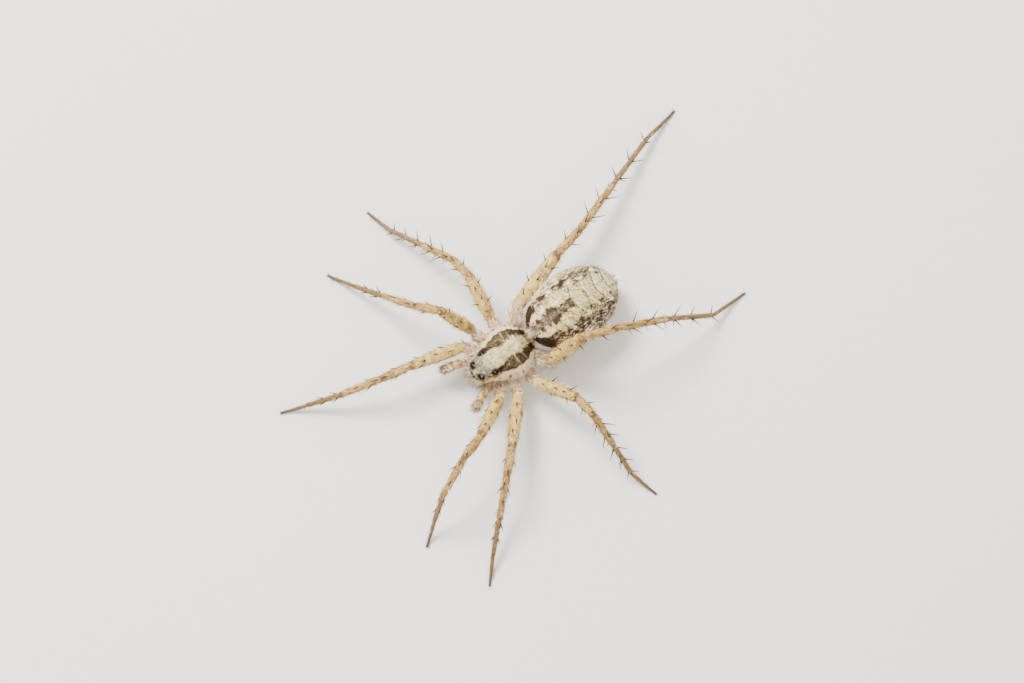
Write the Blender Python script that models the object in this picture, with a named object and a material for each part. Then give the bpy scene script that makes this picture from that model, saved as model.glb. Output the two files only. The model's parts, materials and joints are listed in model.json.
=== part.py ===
"""A life-size wolf spider, standing still with its legs spread.

Metres, +Z up, head towards -Y, the spider's left side towards +X. The feet stand on z = 0 and the origin
is the centre of the whole spider's box at floor level. While it is built, x = y = 0 is the waist.
"""

import math

import bmesh
import bpy
from mathutils import Matrix, Vector

MM = 0.001

# Body lengths and heights, in millimetres along -Y (head) and +Y (tail) from the waist
CARAPACE_REAR = -0.10
CARAPACE_LENGTH = 3.00
STERNUM_FRONT, STERNUM_REAR = -2.70, -0.40
STERNUM_BOTTOM, STERNUM_TOP = 0.92, 1.45
STERNUM_HALF_WIDTH = 0.52
# Share of the sternum's length, then of its half width
STERNUM_WIDTHS = ((0.0, 0.62), (0.14, 0.76), (0.30, 0.94), (0.50, 1.0), (0.75, 0.90), (1.0, 0.50))
STERNUM_KEEL = 0.10  # how much lower its middle is than its ends
PEDICEL_RADIUS = 0.25
PEDICEL_HEIGHT = 1.60
PEDICEL_ENDS = (-0.08, 0.12)

# The abdomen is a long egg: its middle line, then how far it reaches out, up and down at its widest
ABDOMEN_FRONT = 0.02
ABDOMEN_LENGTH = 4.58
ABDOMEN_HALF_WIDTH = 1.67
ABDOMEN_MIDDLE = 1.84
ABDOMEN_TAIL_DROP = 0.18
ABDOMEN_UP = 1.24
ABDOMEN_DOWN = 1.14
ABDOMEN_BLUNTNESS = 0.36  # below 0.5, the front end stands steeper than an ellipse
ABDOMEN_STEPS = 18
ABDOMEN_TIP = 0.004  # share of its length that each blunt end leaves out
BODY_SIDES = 28

# The carapace from rear to front: share of its length, half width, then heights of underside, rim and ridge
CARAPACE_STATIONS = (
    (0.00, 0.46, 1.50, 1.62, 1.78),
    (0.06, 0.76, 1.48, 1.63, 1.98),
    (0.16, 1.06, 1.47, 1.64, 2.20),
    (0.28, 1.24, 1.47, 1.65, 2.36),
    (0.40, 1.28, 1.47, 1.66, 2.45),
    (0.52, 1.19, 1.47, 1.68, 2.51),
    (0.64, 1.01, 1.48, 1.71, 2.56),
    (0.75, 0.83, 1.52, 1.76, 2.57),
    (0.85, 0.70, 1.66, 1.86, 2.53),
    (0.93, 0.63, 1.76, 1.94, 2.43),
    (1.00, 0.52, 1.80, 1.98, 2.26),
)

# Eyes: radius, then place beside the middle line, along the body and up; the lens looks forwards and out
EYES = {
    "eye_front_inner": (0.075, 0.09, -3.09, 1.98),
    "eye_front_outer": (0.060, 0.25, -3.08, 1.99),
    "eye_middle": (0.142, 0.305, -2.87, 2.29),
    "eye_rear": (0.127, 0.51, -2.27, 2.38),
}
SOCKET_GAP = 0.012
EYE_SEGMENTS, EYE_RINGS = 14, 9

GAP = 0.02  # between pieces that meet
END_REACH = 0.10  # of the rounded end of a foot or feeler, past its last full section
END_RADIUS = 0.12
SECTION_SIDES = 12
SMALL_SIDES = 8  # of a fang or a spinning tube
SHARP_ANGLE = 50
FOOT_AXIS_HEIGHT = 0.20  # of the middle of a foot's tip, whose underside is cut flat at the floor

# Widths and depths along each leg piece, at even steps from its body end to its far end
LEG_SECTIONS = {
    "coxa": ((0.50, 0.50), (0.56, 0.58), (0.54, 0.56)),
    "femur": ((0.54, 0.56), (0.66, 0.74), (0.63, 0.70), (0.56, 0.58)),
    "patella": ((0.55, 0.56), (0.57, 0.58), (0.54, 0.54)),
    "tibia": ((0.54, 0.54), (0.54, 0.54), (0.52, 0.52), (0.50, 0.50)),
    "metatarsus": ((0.50, 0.50), (0.50, 0.50)),
    "tarsus": ((0.50, 0.50), (0.50, 0.50), (0.46, 0.48)),
}

# How much stouter the femora of a pair of legs are than those of the first
FEMUR_SWELL = {1: 1.0, 2: 1.0, 3: 1.04, 4: 1.16}

# Lengths of femur, patella, tibia, metatarsus and tarsus of each pair of legs
LEG_LENGTHS = {
    1: (2.68, 1.30, 2.15, 1.60, 1.30),
    2: (2.60, 1.32, 2.10, 1.72, 1.34),
    3: (2.30, 1.15, 1.90, 1.74, 1.40),
    4: (3.05, 1.50, 2.72, 2.78, 1.85),
}

# Where each coxa leaves the sternum's side: distance from the middle line, place along the body,
# heading in degrees from straight out sideways towards the head, length
COXAE = {
    "left": {
        1: (0.56, -2.20, 26, 0.94),
        2: (0.62, -1.64, 12, 1.18),
        3: (0.62, -1.07, -8, 1.18),
        4: (0.56, -0.52, -38, 1.02),
    },
    "right": {
        1: (0.56, -2.20, 26, 0.94),
        2: (0.62, -1.64, 12, 1.18),
        3: (0.62, -1.07, -8, 1.18),
        4: (0.56, -0.52, -42, 1.24),
    },
}
COXA_HEIGHT = 1.19
COXA_RISE = 6

# The stance: heading and rise above level of femur, patella, tibia and metatarsus. The tarsus has only a
# heading, because it comes down to the floor.
STANCE = {
    "left": {
        1: ((59, 35), (70, 20), (67, -31), (58, -52), 54),
        2: ((42, 16), (45, 9), (46, -29), (46, -24), 42),
        3: ((-28, 28), (-4, 19), (-3, -41), (-1, -35), -17),
        4: ((-78, 57), (-71, -9), (-70, -26), (-68, -41), -92),
    },
    "right": {
        1: ((77, 11), (79, 2), (73, -21), (68, -23), 68),
        2: ((35, 54), (39, -29), (29, -38), (29, -33), 29),
        3: ((-6, 32), (8, -21), (23, -30), (25, -23), 14),
        4: ((-73, 7), (-78, -1), (-70, -12), (-70, -12), -78),
    },
}

# Feelers: start beside the mouth, then length, heading and rise of the pieces; the left one hangs lower
PALP_START = (0.77, -2.86, 1.22)
PALP_PIECES = {
    "left": ((0.34, 70, 38), (0.32, 68, -4), (0.34, 66, -46), (0.42, 70, -60)),
    "right": ((0.34, 76, 24), (0.32, 73, 8), (0.34, 72, -26), (0.40, 76, -44)),
}
PALP_SECTIONS = ((0.46, 0.46), (0.48, 0.50), (0.48, 0.48), (0.48, 0.48), (0.42, 0.42))

# Jaw: one of the two stout pieces under the face, from its top to its foot
JAW_TOP = (0.27, -2.97, 1.73)
JAW_FOOT = (0.27, -3.04, 0.80)
JAW_SECTIONS = ((0.34, 0.34), (0.49, 0.50), (0.50, 0.52), (0.44, 0.42), (0.30, 0.26))
FANG_ROOT = (0.25, -3.04, 0.77)
FANG_RADIUS = 0.075
FANG_BEND = 0.24
FANG_INWARD = 0.10
FANG_TAPER = 0.75
FANG_STEPS = 4

# Spinnerets: where they sit, their turn from upright, and half of the tubes as x, lift, radius, length
SPINNERET_ROOT = (0, 4.16, 1.06)
SPINNERET_TURN = -112
SPINNERET_BASE = (0.36, 0.28, 0.30)  # radius where it leaves the abdomen, radius at its end, depth
SPINNING_TUBE_TAPER = 0.6
SPINNERET_SIDES = 14
SPINNING_TUBES = ((0.15, 0.13, 0.085, 0.34), (0.075, 0.0, 0.06, 0.22), (0.16, -0.13, 0.085, 0.36))

COLOURS = {
    "carapace": ((0.60, 0.52, 0.40), 0.70),
    "underside": ((0.72, 0.60, 0.46), 0.75),
    "leg": ((0.66, 0.56, 0.40), 0.75),
    "foot": ((0.42, 0.32, 0.22), 0.75),
    "abdomen": ((0.62, 0.56, 0.44), 0.85),
    "eye": ((0.012, 0.008, 0.008), 0.08),
    "fang": ((0.10, 0.03, 0.02), 0.25),
}


def clear_scene():
    for obj in list(bpy.data.objects):
        bpy.data.objects.remove(obj)


def material(kind):
    """The finish of one kind of piece, made once."""
    if kind in bpy.data.materials:
        return bpy.data.materials[kind]
    colour, roughness = COLOURS[kind]
    made = bpy.data.materials.new(kind)
    made.use_nodes = True
    shader = made.node_tree.nodes["Principled BSDF"]
    shader.inputs["Base Color"].default_value = (*colour, 1.0)
    shader.inputs["Roughness"].default_value = roughness
    shader.inputs["Metallic"].default_value = 0.0
    return made


def add_object(name, bm, kind):
    """Turns a bmesh built in millimetres into a named object in metres."""
    bmesh.ops.recalc_face_normals(bm, faces=bm.faces)
    bmesh.ops.scale(bm, vec=(MM, MM, MM), verts=bm.verts)
    mesh = bpy.data.meshes.new(name)
    bm.to_mesh(mesh)
    bm.free()
    mesh.shade_smooth()
    mesh.set_sharp_from_angle(angle=math.radians(SHARP_ANGLE))
    mesh.materials.append(material(kind))
    obj = bpy.data.objects.new(name, mesh)
    bpy.context.scene.collection.objects.link(obj)
    return obj


def combine(obj, tool, operation):
    """Cuts the tool out of an object, or joins it on, and leaves the tool hidden."""
    tool.hide_render = True
    tool.display_type = "WIRE"
    boolean = obj.modifiers.new(tool.name, "BOOLEAN")
    boolean.operation = operation
    boolean.solver = "EXACT"
    boolean.object = tool


def ring(bm, matrix, sides=SECTION_SIDES):
    """One cross section: a circle of radius 1, carried by the matrix."""
    made = bmesh.ops.create_circle(bm, cap_ends=False, radius=1.0, segments=sides, matrix=matrix)
    return made["verts"]


def loft(bm, rings):
    """Bridges each ring to the next and closes both ends."""
    for near, far in zip(rings, rings[1:]):
        edges = [e for verts in (near, far) for e in loop_edges(verts)]
        bmesh.ops.bridge_loops(bm, edges=edges)
    for verts in (rings[0], rings[-1]):
        bmesh.ops.contextual_create(bm, geom=loop_edges(verts))


def loop_edges(verts):
    members = set(verts)
    return list({e for v in verts for e in v.link_edges if e.other_vert(v) in members})


def direction(side, heading, rise):
    """A unit vector that leaves one side of the body, turned towards the head and lifted above level."""
    turned, lifted = math.radians(heading), math.radians(rise)
    out = 1 if side == "left" else -1
    flat = math.cos(lifted)
    return Vector((out * flat * math.cos(turned), -flat * math.sin(turned), math.sin(lifted)))


def mitre(before, after):
    """The normal of the plane in which two pieces meet."""
    return (before + after).normalized()


def piece_rings(bm, start, end, normals, sections):
    """Rings along a straight piece, whose planes turn evenly from one joint's mitre to the other's."""
    along = (end - start).normalized()
    across = along.cross(Vector((0, 0, 1))).normalized()
    upward = across.cross(along)
    rings = []
    for step, (width, depth) in enumerate(sections):
        share = step / (len(sections) - 1)
        columns = []
        for axis, half in ((across, width / 2), (upward, depth / 2)):
            leans = [axis.dot(normal) / along.dot(normal) for normal in normals]
            lean = leans[0] + (leans[1] - leans[0]) * share
            columns.append((axis - along * lean) * half)
        place = start.lerp(end, share)
        turned = Matrix((columns[0], columns[1], along)).transposed().to_4x4()
        matrix = Matrix.Translation(place) @ turned
        rings.append(ring(bm, matrix))
    return rings


def rounded_end(bm, end, way):
    """A smaller ring just past the end of a foot or a feeler, so that it isn't a flat stump."""
    turned = way.to_track_quat("Z", "Y").to_matrix().to_4x4()
    return ring(bm, Matrix.Translation(end + way * END_REACH) @ turned @ Matrix.Scale(END_RADIUS, 4))


def leg_joints(side, number):
    """The middle points of a leg's joints, from the sternum to the foot."""
    x, y, heading, length = COXAE[side][number]
    out = 1 if side == "left" else -1
    joints = [Vector((out * x, y, COXA_HEIGHT))]
    joints.append(joints[-1] + direction(side, heading, COXA_RISE) * length)
    *raised, tarsus_heading = STANCE[side][number]
    *lengths, tarsus_length = LEG_LENGTHS[number]
    for piece_length, (turn, rise) in zip(lengths, raised):
        joints.append(joints[-1] + direction(side, turn, rise) * piece_length)
    drop = (joints[-1].z - FOOT_AXIS_HEIGHT) / tarsus_length
    fall = -math.degrees(math.asin(drop))
    joints.append(joints[-1] + direction(side, tarsus_heading, fall) * tarsus_length)
    return joints


def leg_sections(kind, number):
    """Widths and depths of a leg piece; a femur swells between its two ends."""
    first, *between, last = LEG_SECTIONS[kind]
    swell = FEMUR_SWELL[number] if kind == "femur" else 1.0
    return (first, *((width * swell, depth * swell) for width, depth in between), last)


def add_leg(side, number):
    """Coxa, femur, patella, tibia and foot of one leg, parted by thin cuts at the joints."""
    joints = leg_joints(side, number)
    ways = [(b - a).normalized() for a, b in zip(joints, joints[1:])]
    normals = [ways[0], *(mitre(a, b) for a, b in zip(ways, ways[1:])), ways[-1]]
    half_cut = GAP / 2
    for index, kind in enumerate(("coxa", "femur", "patella", "tibia")):
        bm = bmesh.new()
        start = joints[index] + ways[index] * half_cut
        end = joints[index + 1] - ways[index] * half_cut
        sections = leg_sections(kind, number)
        loft(bm, piece_rings(bm, start, end, normals[index:index + 2], sections))
        add_object(f"leg_{side}_{number}_{kind}", bm, "leg")
    add_foot(f"leg_{side}_{number}_foot", joints[4:], ways[4:], normals[4:])


def add_foot(name, joints, ways, normals):
    """Metatarsus and tarsus as one piece, with a small flat where it stands on the floor."""
    bm = bmesh.new()
    start = joints[0] + ways[0] * (GAP / 2)
    rings = piece_rings(bm, start, joints[1], normals[0:2], LEG_SECTIONS["metatarsus"])
    far = piece_rings(bm, joints[1], joints[2], normals[1:3], LEG_SECTIONS["tarsus"])
    bmesh.ops.delete(bm, geom=far[0], context="VERTS")
    loft(bm, rings + far[1:] + [rounded_end(bm, joints[2], ways[1])])
    geometry = bm.verts[:] + bm.edges[:] + bm.faces[:]
    cut = bmesh.ops.bisect_plane(
        bm, geom=geometry, plane_co=(0, 0, 0), plane_no=(0, 0, -1), clear_outer=True, dist=0.0001
    )
    rim = [item for item in cut["geom_cut"] if isinstance(item, bmesh.types.BMEdge)]
    bmesh.ops.contextual_create(bm, geom=rim)
    add_object(name, bm, "foot")


def body_rings(bm, sections, sides):
    """Rings across the body at each (y, half width, underside, height of the widest line, ridge)."""
    rings = []
    for y, half_width, low, middle, high in sections:
        verts = ring(bm, Matrix.Rotation(math.radians(90), 4, "X"), sides)
        for vert in verts:
            side, lift = vert.co.x, vert.co.z
            reach = (high - middle) if lift > 0 else (middle - low)
            vert.co = Vector((side * half_width, y, middle + lift * reach))
        rings.append(verts)
    return rings


def add_carapace():
    """The shield over head and thorax, with a socket for each eye."""
    sections = []
    for share, half_width, low, rim, ridge in CARAPACE_STATIONS:
        y = CARAPACE_REAR - share * CARAPACE_LENGTH
        sections.append((y, half_width, low, rim, ridge))
    bm = bmesh.new()
    loft(bm, body_rings(bm, sections, BODY_SIDES))
    carapace = add_object("carapace", bm, "carapace")
    for side, out in (("left", 1), ("right", -1)):
        for eye, (radius, x, y, z) in EYES.items():
            socket = add_ball(f"socket_{eye}_{side}", radius + SOCKET_GAP, (out * x, y, z), "eye")
            combine(carapace, socket, "DIFFERENCE")
            add_ball(f"{eye}_{side}", radius, (out * x, y, z), "eye")


def add_ball(name, radius, place, kind):
    bm = bmesh.new()
    carry = Matrix.Translation(place)
    bmesh.ops.create_uvsphere(bm, u_segments=EYE_SEGMENTS, v_segments=EYE_RINGS, radius=radius, matrix=carry)
    return add_object(name, bm, kind)


def add_sternum():
    """The heart-shaped plate underneath, with the body that the coxae meet."""
    bm = bmesh.new()
    length = STERNUM_REAR - STERNUM_FRONT
    middle = (STERNUM_BOTTOM + STERNUM_TOP) / 2
    sections = []
    for share, width in STERNUM_WIDTHS:
        y = STERNUM_FRONT + share * length
        low = STERNUM_BOTTOM + STERNUM_KEEL * (2 * share - 1) ** 2
        sections.append((y, STERNUM_HALF_WIDTH * width, low, middle, STERNUM_TOP))
    loft(bm, body_rings(bm, sections, SECTION_SIDES))
    add_object("sternum", bm, "underside")


def add_waist_rod(name, radius, ends):
    """A round bar along the body at the height of the waist."""
    bm = bmesh.new()
    turned = Matrix.Rotation(math.radians(90), 4, "X") @ Matrix.Scale(radius, 4)
    loft(bm, [ring(bm, Matrix.Translation((0, y, PEDICEL_HEIGHT)) @ turned) for y in ends])
    return add_object(name, bm, "underside")


def abdomen_section(share):
    """Place along the body, half width, underside, middle and ridge at a share of the abdomen's length."""
    reach = 2 * share - 1
    swell = 1 - reach ** 2
    rise = swell ** (ABDOMEN_BLUNTNESS if share < 0.5 else 0.5)
    middle = ABDOMEN_MIDDLE - ABDOMEN_TAIL_DROP * max(0.0, reach) ** 2
    y = ABDOMEN_FRONT + share * ABDOMEN_LENGTH
    low = middle - ABDOMEN_DOWN * rise
    high = middle + ABDOMEN_UP * rise
    return y, ABDOMEN_HALF_WIDTH * swell ** 0.5, low, middle, high


def add_abdomen():
    """The abdomen, with a socket for the waist's end and one for the spinnerets' base."""
    sections = []
    for step in range(ABDOMEN_STEPS + 1):
        share = (1 - math.cos(math.pi * step / ABDOMEN_STEPS)) / 2
        sections.append(abdomen_section(min(max(share, ABDOMEN_TIP), 1 - ABDOMEN_TIP)))
    bm = bmesh.new()
    loft(bm, body_rings(bm, sections, BODY_SIDES))
    abdomen = add_object("abdomen", bm, "abdomen")
    bm = bmesh.new()
    spinneret_base(bm, GAP)
    combine(abdomen, add_object("spinneret_socket", bm, "underside"), "DIFFERENCE")
    ends = (CARAPACE_REAR, PEDICEL_ENDS[1] + GAP)
    combine(abdomen, add_waist_rod("pedicel_socket", PEDICEL_RADIUS + GAP, ends), "DIFFERENCE")


def spinneret_frame():
    """Carries +Z to where the spinning tubes point, backwards and a little down."""
    return Matrix.Translation(SPINNERET_ROOT) @ Matrix.Rotation(math.radians(SPINNERET_TURN), 4, "X")


def spinneret_base(bm, extra=0.0):
    near, far, depth = SPINNERET_BASE
    bmesh.ops.create_cone(
        bm,
        cap_ends=True,
        segments=SPINNERET_SIDES,
        radius1=near + extra,
        radius2=far + extra,
        depth=depth + 2 * extra,
        matrix=spinneret_frame(),
    )


def add_spinnerets():
    """Three pairs of short spinning tubes on one base, under the tail end."""
    bm = bmesh.new()
    spinneret_base(bm)
    spinnerets = add_object("spinnerets", bm, "underside")
    for out in (1, -1):
        for x, lift, radius, length in SPINNING_TUBES:
            bm = bmesh.new()
            foot = SPINNERET_BASE[2] / 2 - GAP
            bmesh.ops.create_cone(
                bm,
                cap_ends=True,
                segments=SMALL_SIDES,
                radius1=radius,
                radius2=radius * SPINNING_TUBE_TAPER,
                depth=length,
                matrix=spinneret_frame() @ Matrix.Translation((out * x, lift, foot + length / 2)),
            )
            tube = add_object(f"spinning_tube_{len(spinnerets.modifiers)}", bm, "underside")
            combine(spinnerets, tube, "UNION")


def add_palp(side):
    """The feeler beside the jaws, one bent piece."""
    out = 1 if side == "left" else -1
    joints = [Vector((out * PALP_START[0], PALP_START[1], PALP_START[2]))]
    for length, heading, rise in PALP_PIECES[side]:
        joints.append(joints[-1] + direction(side, heading, rise) * length)
    ways = [(b - a).normalized() for a, b in zip(joints, joints[1:])]
    normals = [ways[0], *(mitre(a, b) for a, b in zip(ways, ways[1:])), ways[-1]]
    bm = bmesh.new()
    rings = []
    for index, way in enumerate(ways):
        sections = PALP_SECTIONS[index:index + 2]
        made = piece_rings(bm, joints[index], joints[index + 1], normals[index:index + 2], sections)
        if rings:
            bmesh.ops.delete(bm, geom=made[0], context="VERTS")
            made = made[1:]
        rings += made
    loft(bm, rings + [rounded_end(bm, joints[-1], ways[-1])])
    add_object(f"palp_{side}", bm, "leg")


def add_jaw(side):
    """The chelicera under the face and the fang folded beneath it."""
    out = 1 if side == "left" else -1
    mirror = Vector((out, 1, 1))
    top, foot = Vector(JAW_TOP) * mirror, Vector(JAW_FOOT) * mirror
    bm = bmesh.new()
    way = (foot - top).normalized()
    rings = []
    for step, (width, depth) in enumerate(JAW_SECTIONS):
        place = top.lerp(foot, step / (len(JAW_SECTIONS) - 1))
        sized = Matrix.Diagonal((width / 2, depth / 2, 1, 1))
        turned = way.to_track_quat("Z", "Y").to_matrix().to_4x4()
        rings.append(ring(bm, Matrix.Translation(place) @ turned @ sized))
    loft(bm, rings)
    add_object(f"jaw_{side}", bm, "carapace")
    add_fang(side, Vector(FANG_ROOT) * mirror, out)


def add_fang(side, root, out):
    """A short claw that curves down, back and in under its jaw."""
    bm = bmesh.new()
    rings = []
    for step in range(FANG_STEPS + 1):
        share = step / FANG_STEPS
        turn = math.radians(90) * share
        curl = 1 - math.cos(turn)
        place = root + Vector((-out * FANG_INWARD * curl, FANG_BEND * curl, -FANG_BEND * math.sin(turn)))
        thin = FANG_RADIUS * (1 - FANG_TAPER * share)
        sized = Matrix.Diagonal((thin, thin, 1, 1))
        rings.append(ring(bm, Matrix.Translation(place) @ Matrix.Rotation(turn, 4, "X") @ sized, SMALL_SIDES))
    loft(bm, rings)
    add_object(f"fang_{side}", bm, "fang")


def centre_on_floor():
    """Moves everything so that the origin is the middle of the spider's box at floor level."""
    bpy.context.view_layer.update()
    shown = [obj for obj in bpy.data.objects if not obj.hide_render]
    corners = [obj.matrix_world @ Vector(corner) for obj in shown for corner in obj.bound_box]
    low = [min(corner[axis] for corner in corners) for axis in range(3)]
    high = [max(corner[axis] for corner in corners) for axis in range(3)]
    shift = Vector((-(low[0] + high[0]) / 2, -(low[1] + high[1]) / 2, 0))
    for obj in bpy.data.objects:
        obj.data.transform(Matrix.Translation(shift))


def main():
    clear_scene()
    add_carapace()
    add_sternum()
    add_waist_rod("pedicel", PEDICEL_RADIUS, PEDICEL_ENDS)
    add_abdomen()
    add_spinnerets()
    for side in ("left", "right"):
        add_jaw(side)
        add_palp(side)
        for number in LEG_LENGTHS:
            add_leg(side, number)
    centre_on_floor()


main()
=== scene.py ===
import json
import math

import bpy
import numpy as np
from mathutils import Matrix, Vector, kdtree, noise

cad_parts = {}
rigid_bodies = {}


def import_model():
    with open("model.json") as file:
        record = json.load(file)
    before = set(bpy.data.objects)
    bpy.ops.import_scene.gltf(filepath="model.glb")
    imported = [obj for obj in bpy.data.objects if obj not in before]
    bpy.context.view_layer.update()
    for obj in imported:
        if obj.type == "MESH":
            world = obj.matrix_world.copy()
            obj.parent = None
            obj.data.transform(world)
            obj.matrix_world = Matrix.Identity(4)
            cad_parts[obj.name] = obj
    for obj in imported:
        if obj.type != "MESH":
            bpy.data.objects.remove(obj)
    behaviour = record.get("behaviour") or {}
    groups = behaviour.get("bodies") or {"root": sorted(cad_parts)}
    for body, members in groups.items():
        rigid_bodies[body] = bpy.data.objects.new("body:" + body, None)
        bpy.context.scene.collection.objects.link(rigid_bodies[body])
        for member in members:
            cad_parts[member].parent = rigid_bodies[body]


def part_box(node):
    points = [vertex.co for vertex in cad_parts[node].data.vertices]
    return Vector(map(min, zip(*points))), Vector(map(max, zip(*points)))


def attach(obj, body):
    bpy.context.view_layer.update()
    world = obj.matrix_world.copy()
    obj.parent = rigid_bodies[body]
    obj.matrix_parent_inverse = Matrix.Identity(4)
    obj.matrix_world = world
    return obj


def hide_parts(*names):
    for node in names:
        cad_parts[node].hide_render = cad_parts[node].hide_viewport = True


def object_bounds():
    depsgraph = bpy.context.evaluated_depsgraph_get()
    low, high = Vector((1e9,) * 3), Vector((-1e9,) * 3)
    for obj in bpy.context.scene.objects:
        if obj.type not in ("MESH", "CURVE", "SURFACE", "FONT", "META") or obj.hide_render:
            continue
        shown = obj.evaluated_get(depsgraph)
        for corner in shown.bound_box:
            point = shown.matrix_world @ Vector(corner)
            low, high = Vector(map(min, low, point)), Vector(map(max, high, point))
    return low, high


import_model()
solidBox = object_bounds()
mm = 0.001
outward = {"left": 1, "right": -1}  # along X

# Everything is modelled in millimetres about the waist, on the floor: head towards -Y, left side towards +X.
# The pedicel's solid tells where the waist is in the frame.
pedicelLow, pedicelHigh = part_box("pedicel")
waist = Vector((0.5 * (pedicelLow.x + pedicelHigh.x), 0.5 * (pedicelLow.y + pedicelHigh.y) - 0.02 * mm, 0))


def deselectAll():
    bpy.ops.object.select_all(action="DESELECT")


def selectOnly(piece):
    deselectAll()
    piece.select_set(True)
    bpy.context.view_layer.objects.active = piece


def editAll(piece, *steps):
    # runs edit-mode operators on the whole of a piece
    selectOnly(piece)
    bpy.ops.object.mode_set(mode="EDIT")
    bpy.ops.mesh.select_all(action="SELECT")
    for step in steps:
        step()
    bpy.ops.object.mode_set(mode="OBJECT")


def faceOutwards():
    bpy.ops.mesh.normals_make_consistent(inside=False)


def readPoints(piece):
    places = np.empty(len(piece.data.vertices) * 3)
    piece.data.vertices.foreach_get("co", places)
    return places.reshape(-1, 3)


def writePoints(piece, places):
    piece.data.vertices.foreach_set("co", places.ravel())
    piece.data.update()


def readNormals(piece):
    normals = np.empty(len(piece.data.vertices) * 3)
    piece.data.vertex_normals.foreach_get("vector", normals)
    return normals.reshape(-1, 3)


def writeColours(mesh, name, colours):
    layer = mesh.color_attributes.new(name, "FLOAT_COLOR", "POINT")
    layer.data.foreach_set("color", np.column_stack((colours, np.ones(len(colours)))).ravel())


def alongSurface(ways, normals):
    # the part of each direction that follows the surface
    return unit(ways - normals * (ways * normals).sum(1)[:, None])


def unit(vectors):
    return vectors / np.maximum(np.linalg.norm(vectors, axis=-1, keepdims=True), 1e-9)


def fade(low, high, value):
    # 0 at the first limit and 1 at the second, with soft ends; the first may be the higher one
    share = np.clip((value - low) / (high - low), 0, 1)
    return share * share * (3 - 2 * share)


def mottle(places, size, shift=0.0):
    # smooth noise of about -1 to 1; size is in millimetres, one number or one for each axis
    scaled = places / np.asarray(size, float) + shift
    return np.array([noise.noise(Vector(place)) for place in scaled])


def linear(colour):
    # from the 0 to 255 scale of a colour picker to the shader's own scale
    share = np.asarray(colour, float) / 255
    return np.where(share <= 0.04045, share / 12.92, ((share + 0.055) / 1.055) ** 2.4)


def finishPiece(piece):
    # millimetres about the waist become metres in the frame
    piece.data.transform(Matrix.Translation(waist) @ Matrix.Scale(mm, 4))
    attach(piece, "root")


legPlan = {
    "pieces": ("coxa", "femur", "patella", "tibia", "metatarsus", "tarsus"),
    "lengths": {  # femur to tarsus of each pair
        1: (2.68, 1.30, 2.15, 1.60, 1.30),
        2: (2.60, 1.32, 2.10, 1.72, 1.34),
        3: (2.30, 1.15, 1.90, 1.74, 1.40),
        4: (3.05, 1.50, 2.72, 2.78, 1.85),
    },
    "coxaHeight": 1.19,
    "coxaRise": 6,
    "coxae": {  # distance from the middle line, place along the body, heading, length
        "left": {
            1: (0.56, -2.20, 26, 0.94),
            2: (0.62, -1.64, 12, 1.18),
            3: (0.62, -1.07, -8, 1.18),
            4: (0.56, -0.52, -38, 1.02),
        },
        "right": {
            1: (0.56, -2.20, 26, 0.94),
            2: (0.62, -1.64, 12, 1.18),
            3: (0.62, -1.07, -8, 1.18),
            4: (0.56, -0.52, -42, 1.24),
        },
    },
    "stance": {  # heading and rise of femur, patella, tibia and metatarsus, then the tarsus's heading
        "left": {
            1: ((59, 35), (70, 20), (67, -31), (58, -52), 54),
            2: ((42, 16), (45, 9), (46, -29), (46, -24), 42),
            3: ((-28, 28), (-4, 19), (-3, -41), (-1, -35), -17),
            4: ((-78, 57), (-71, -9), (-70, -26), (-68, -41), -92),
        },
        "right": {
            1: ((77, 11), (79, 2), (73, -21), (68, -23), 68),
            2: ((35, 54), (39, -29), (29, -38), (29, -33), 29),
            3: ((-6, 32), (8, -21), (23, -30), (25, -23), 14),
            4: ((-73, 7), (-78, -1), (-70, -12), (-70, -12), -78),
        },
    },
    "solidTipHeight": 0.20,
    "tipHeight": 0.055,  # of the middle of the bare tarsus where it lies on the floor
    "girth": {  # half thickness of the bare leg at shares of each piece's length
        "coxa": ((0.0, 0.20), (0.3, 0.25), (0.70, 0.235), (0.78, 0.20), (0.88, 0.215), (1.0, 0.19)),
        "femur": (
            (0.0, 0.20), (0.07, 0.235), (0.3, 0.285), (0.6, 0.27), (0.88, 0.225), (0.96, 0.21), (1.0, 0.17),
        ),
        "patella": ((0.0, 0.165), (0.12, 0.19), (0.5, 0.195), (0.88, 0.175), (1.0, 0.145)),
        "tibia": ((0.0, 0.14), (0.08, 0.16), (0.4, 0.158), (0.85, 0.142), (0.96, 0.138), (1.0, 0.112)),
        "metatarsus": ((0.0, 0.10), (0.06, 0.118), (0.5, 0.106), (0.94, 0.098), (1.0, 0.078)),
        "tarsus": ((0.0, 0.072), (0.08, 0.084), (0.6, 0.072), (1.0, 0.050)),
    },
    "femurSwell": {1: 1.0, 2: 1.0, 3: 1.06, 4: 1.16},
    "arch": {"femur": 0.045, "tibia": 0.02, "metatarsus": -0.02},  # how far a piece bows up at its middle
    "step": 0.055,
    "kneeRounding": 0.10,
    "girthRounding": 0.04,
    "footSettle": 1.6,  # a tarsus comes down steeply, then lies along the floor
}


def direction(side, heading, rise):
    turned, lifted = math.radians(heading), math.radians(rise)
    out = outward[side]
    flat = math.cos(lifted)
    return np.array((out * flat * math.cos(turned), -flat * math.sin(turned), math.sin(lifted)))


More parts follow.
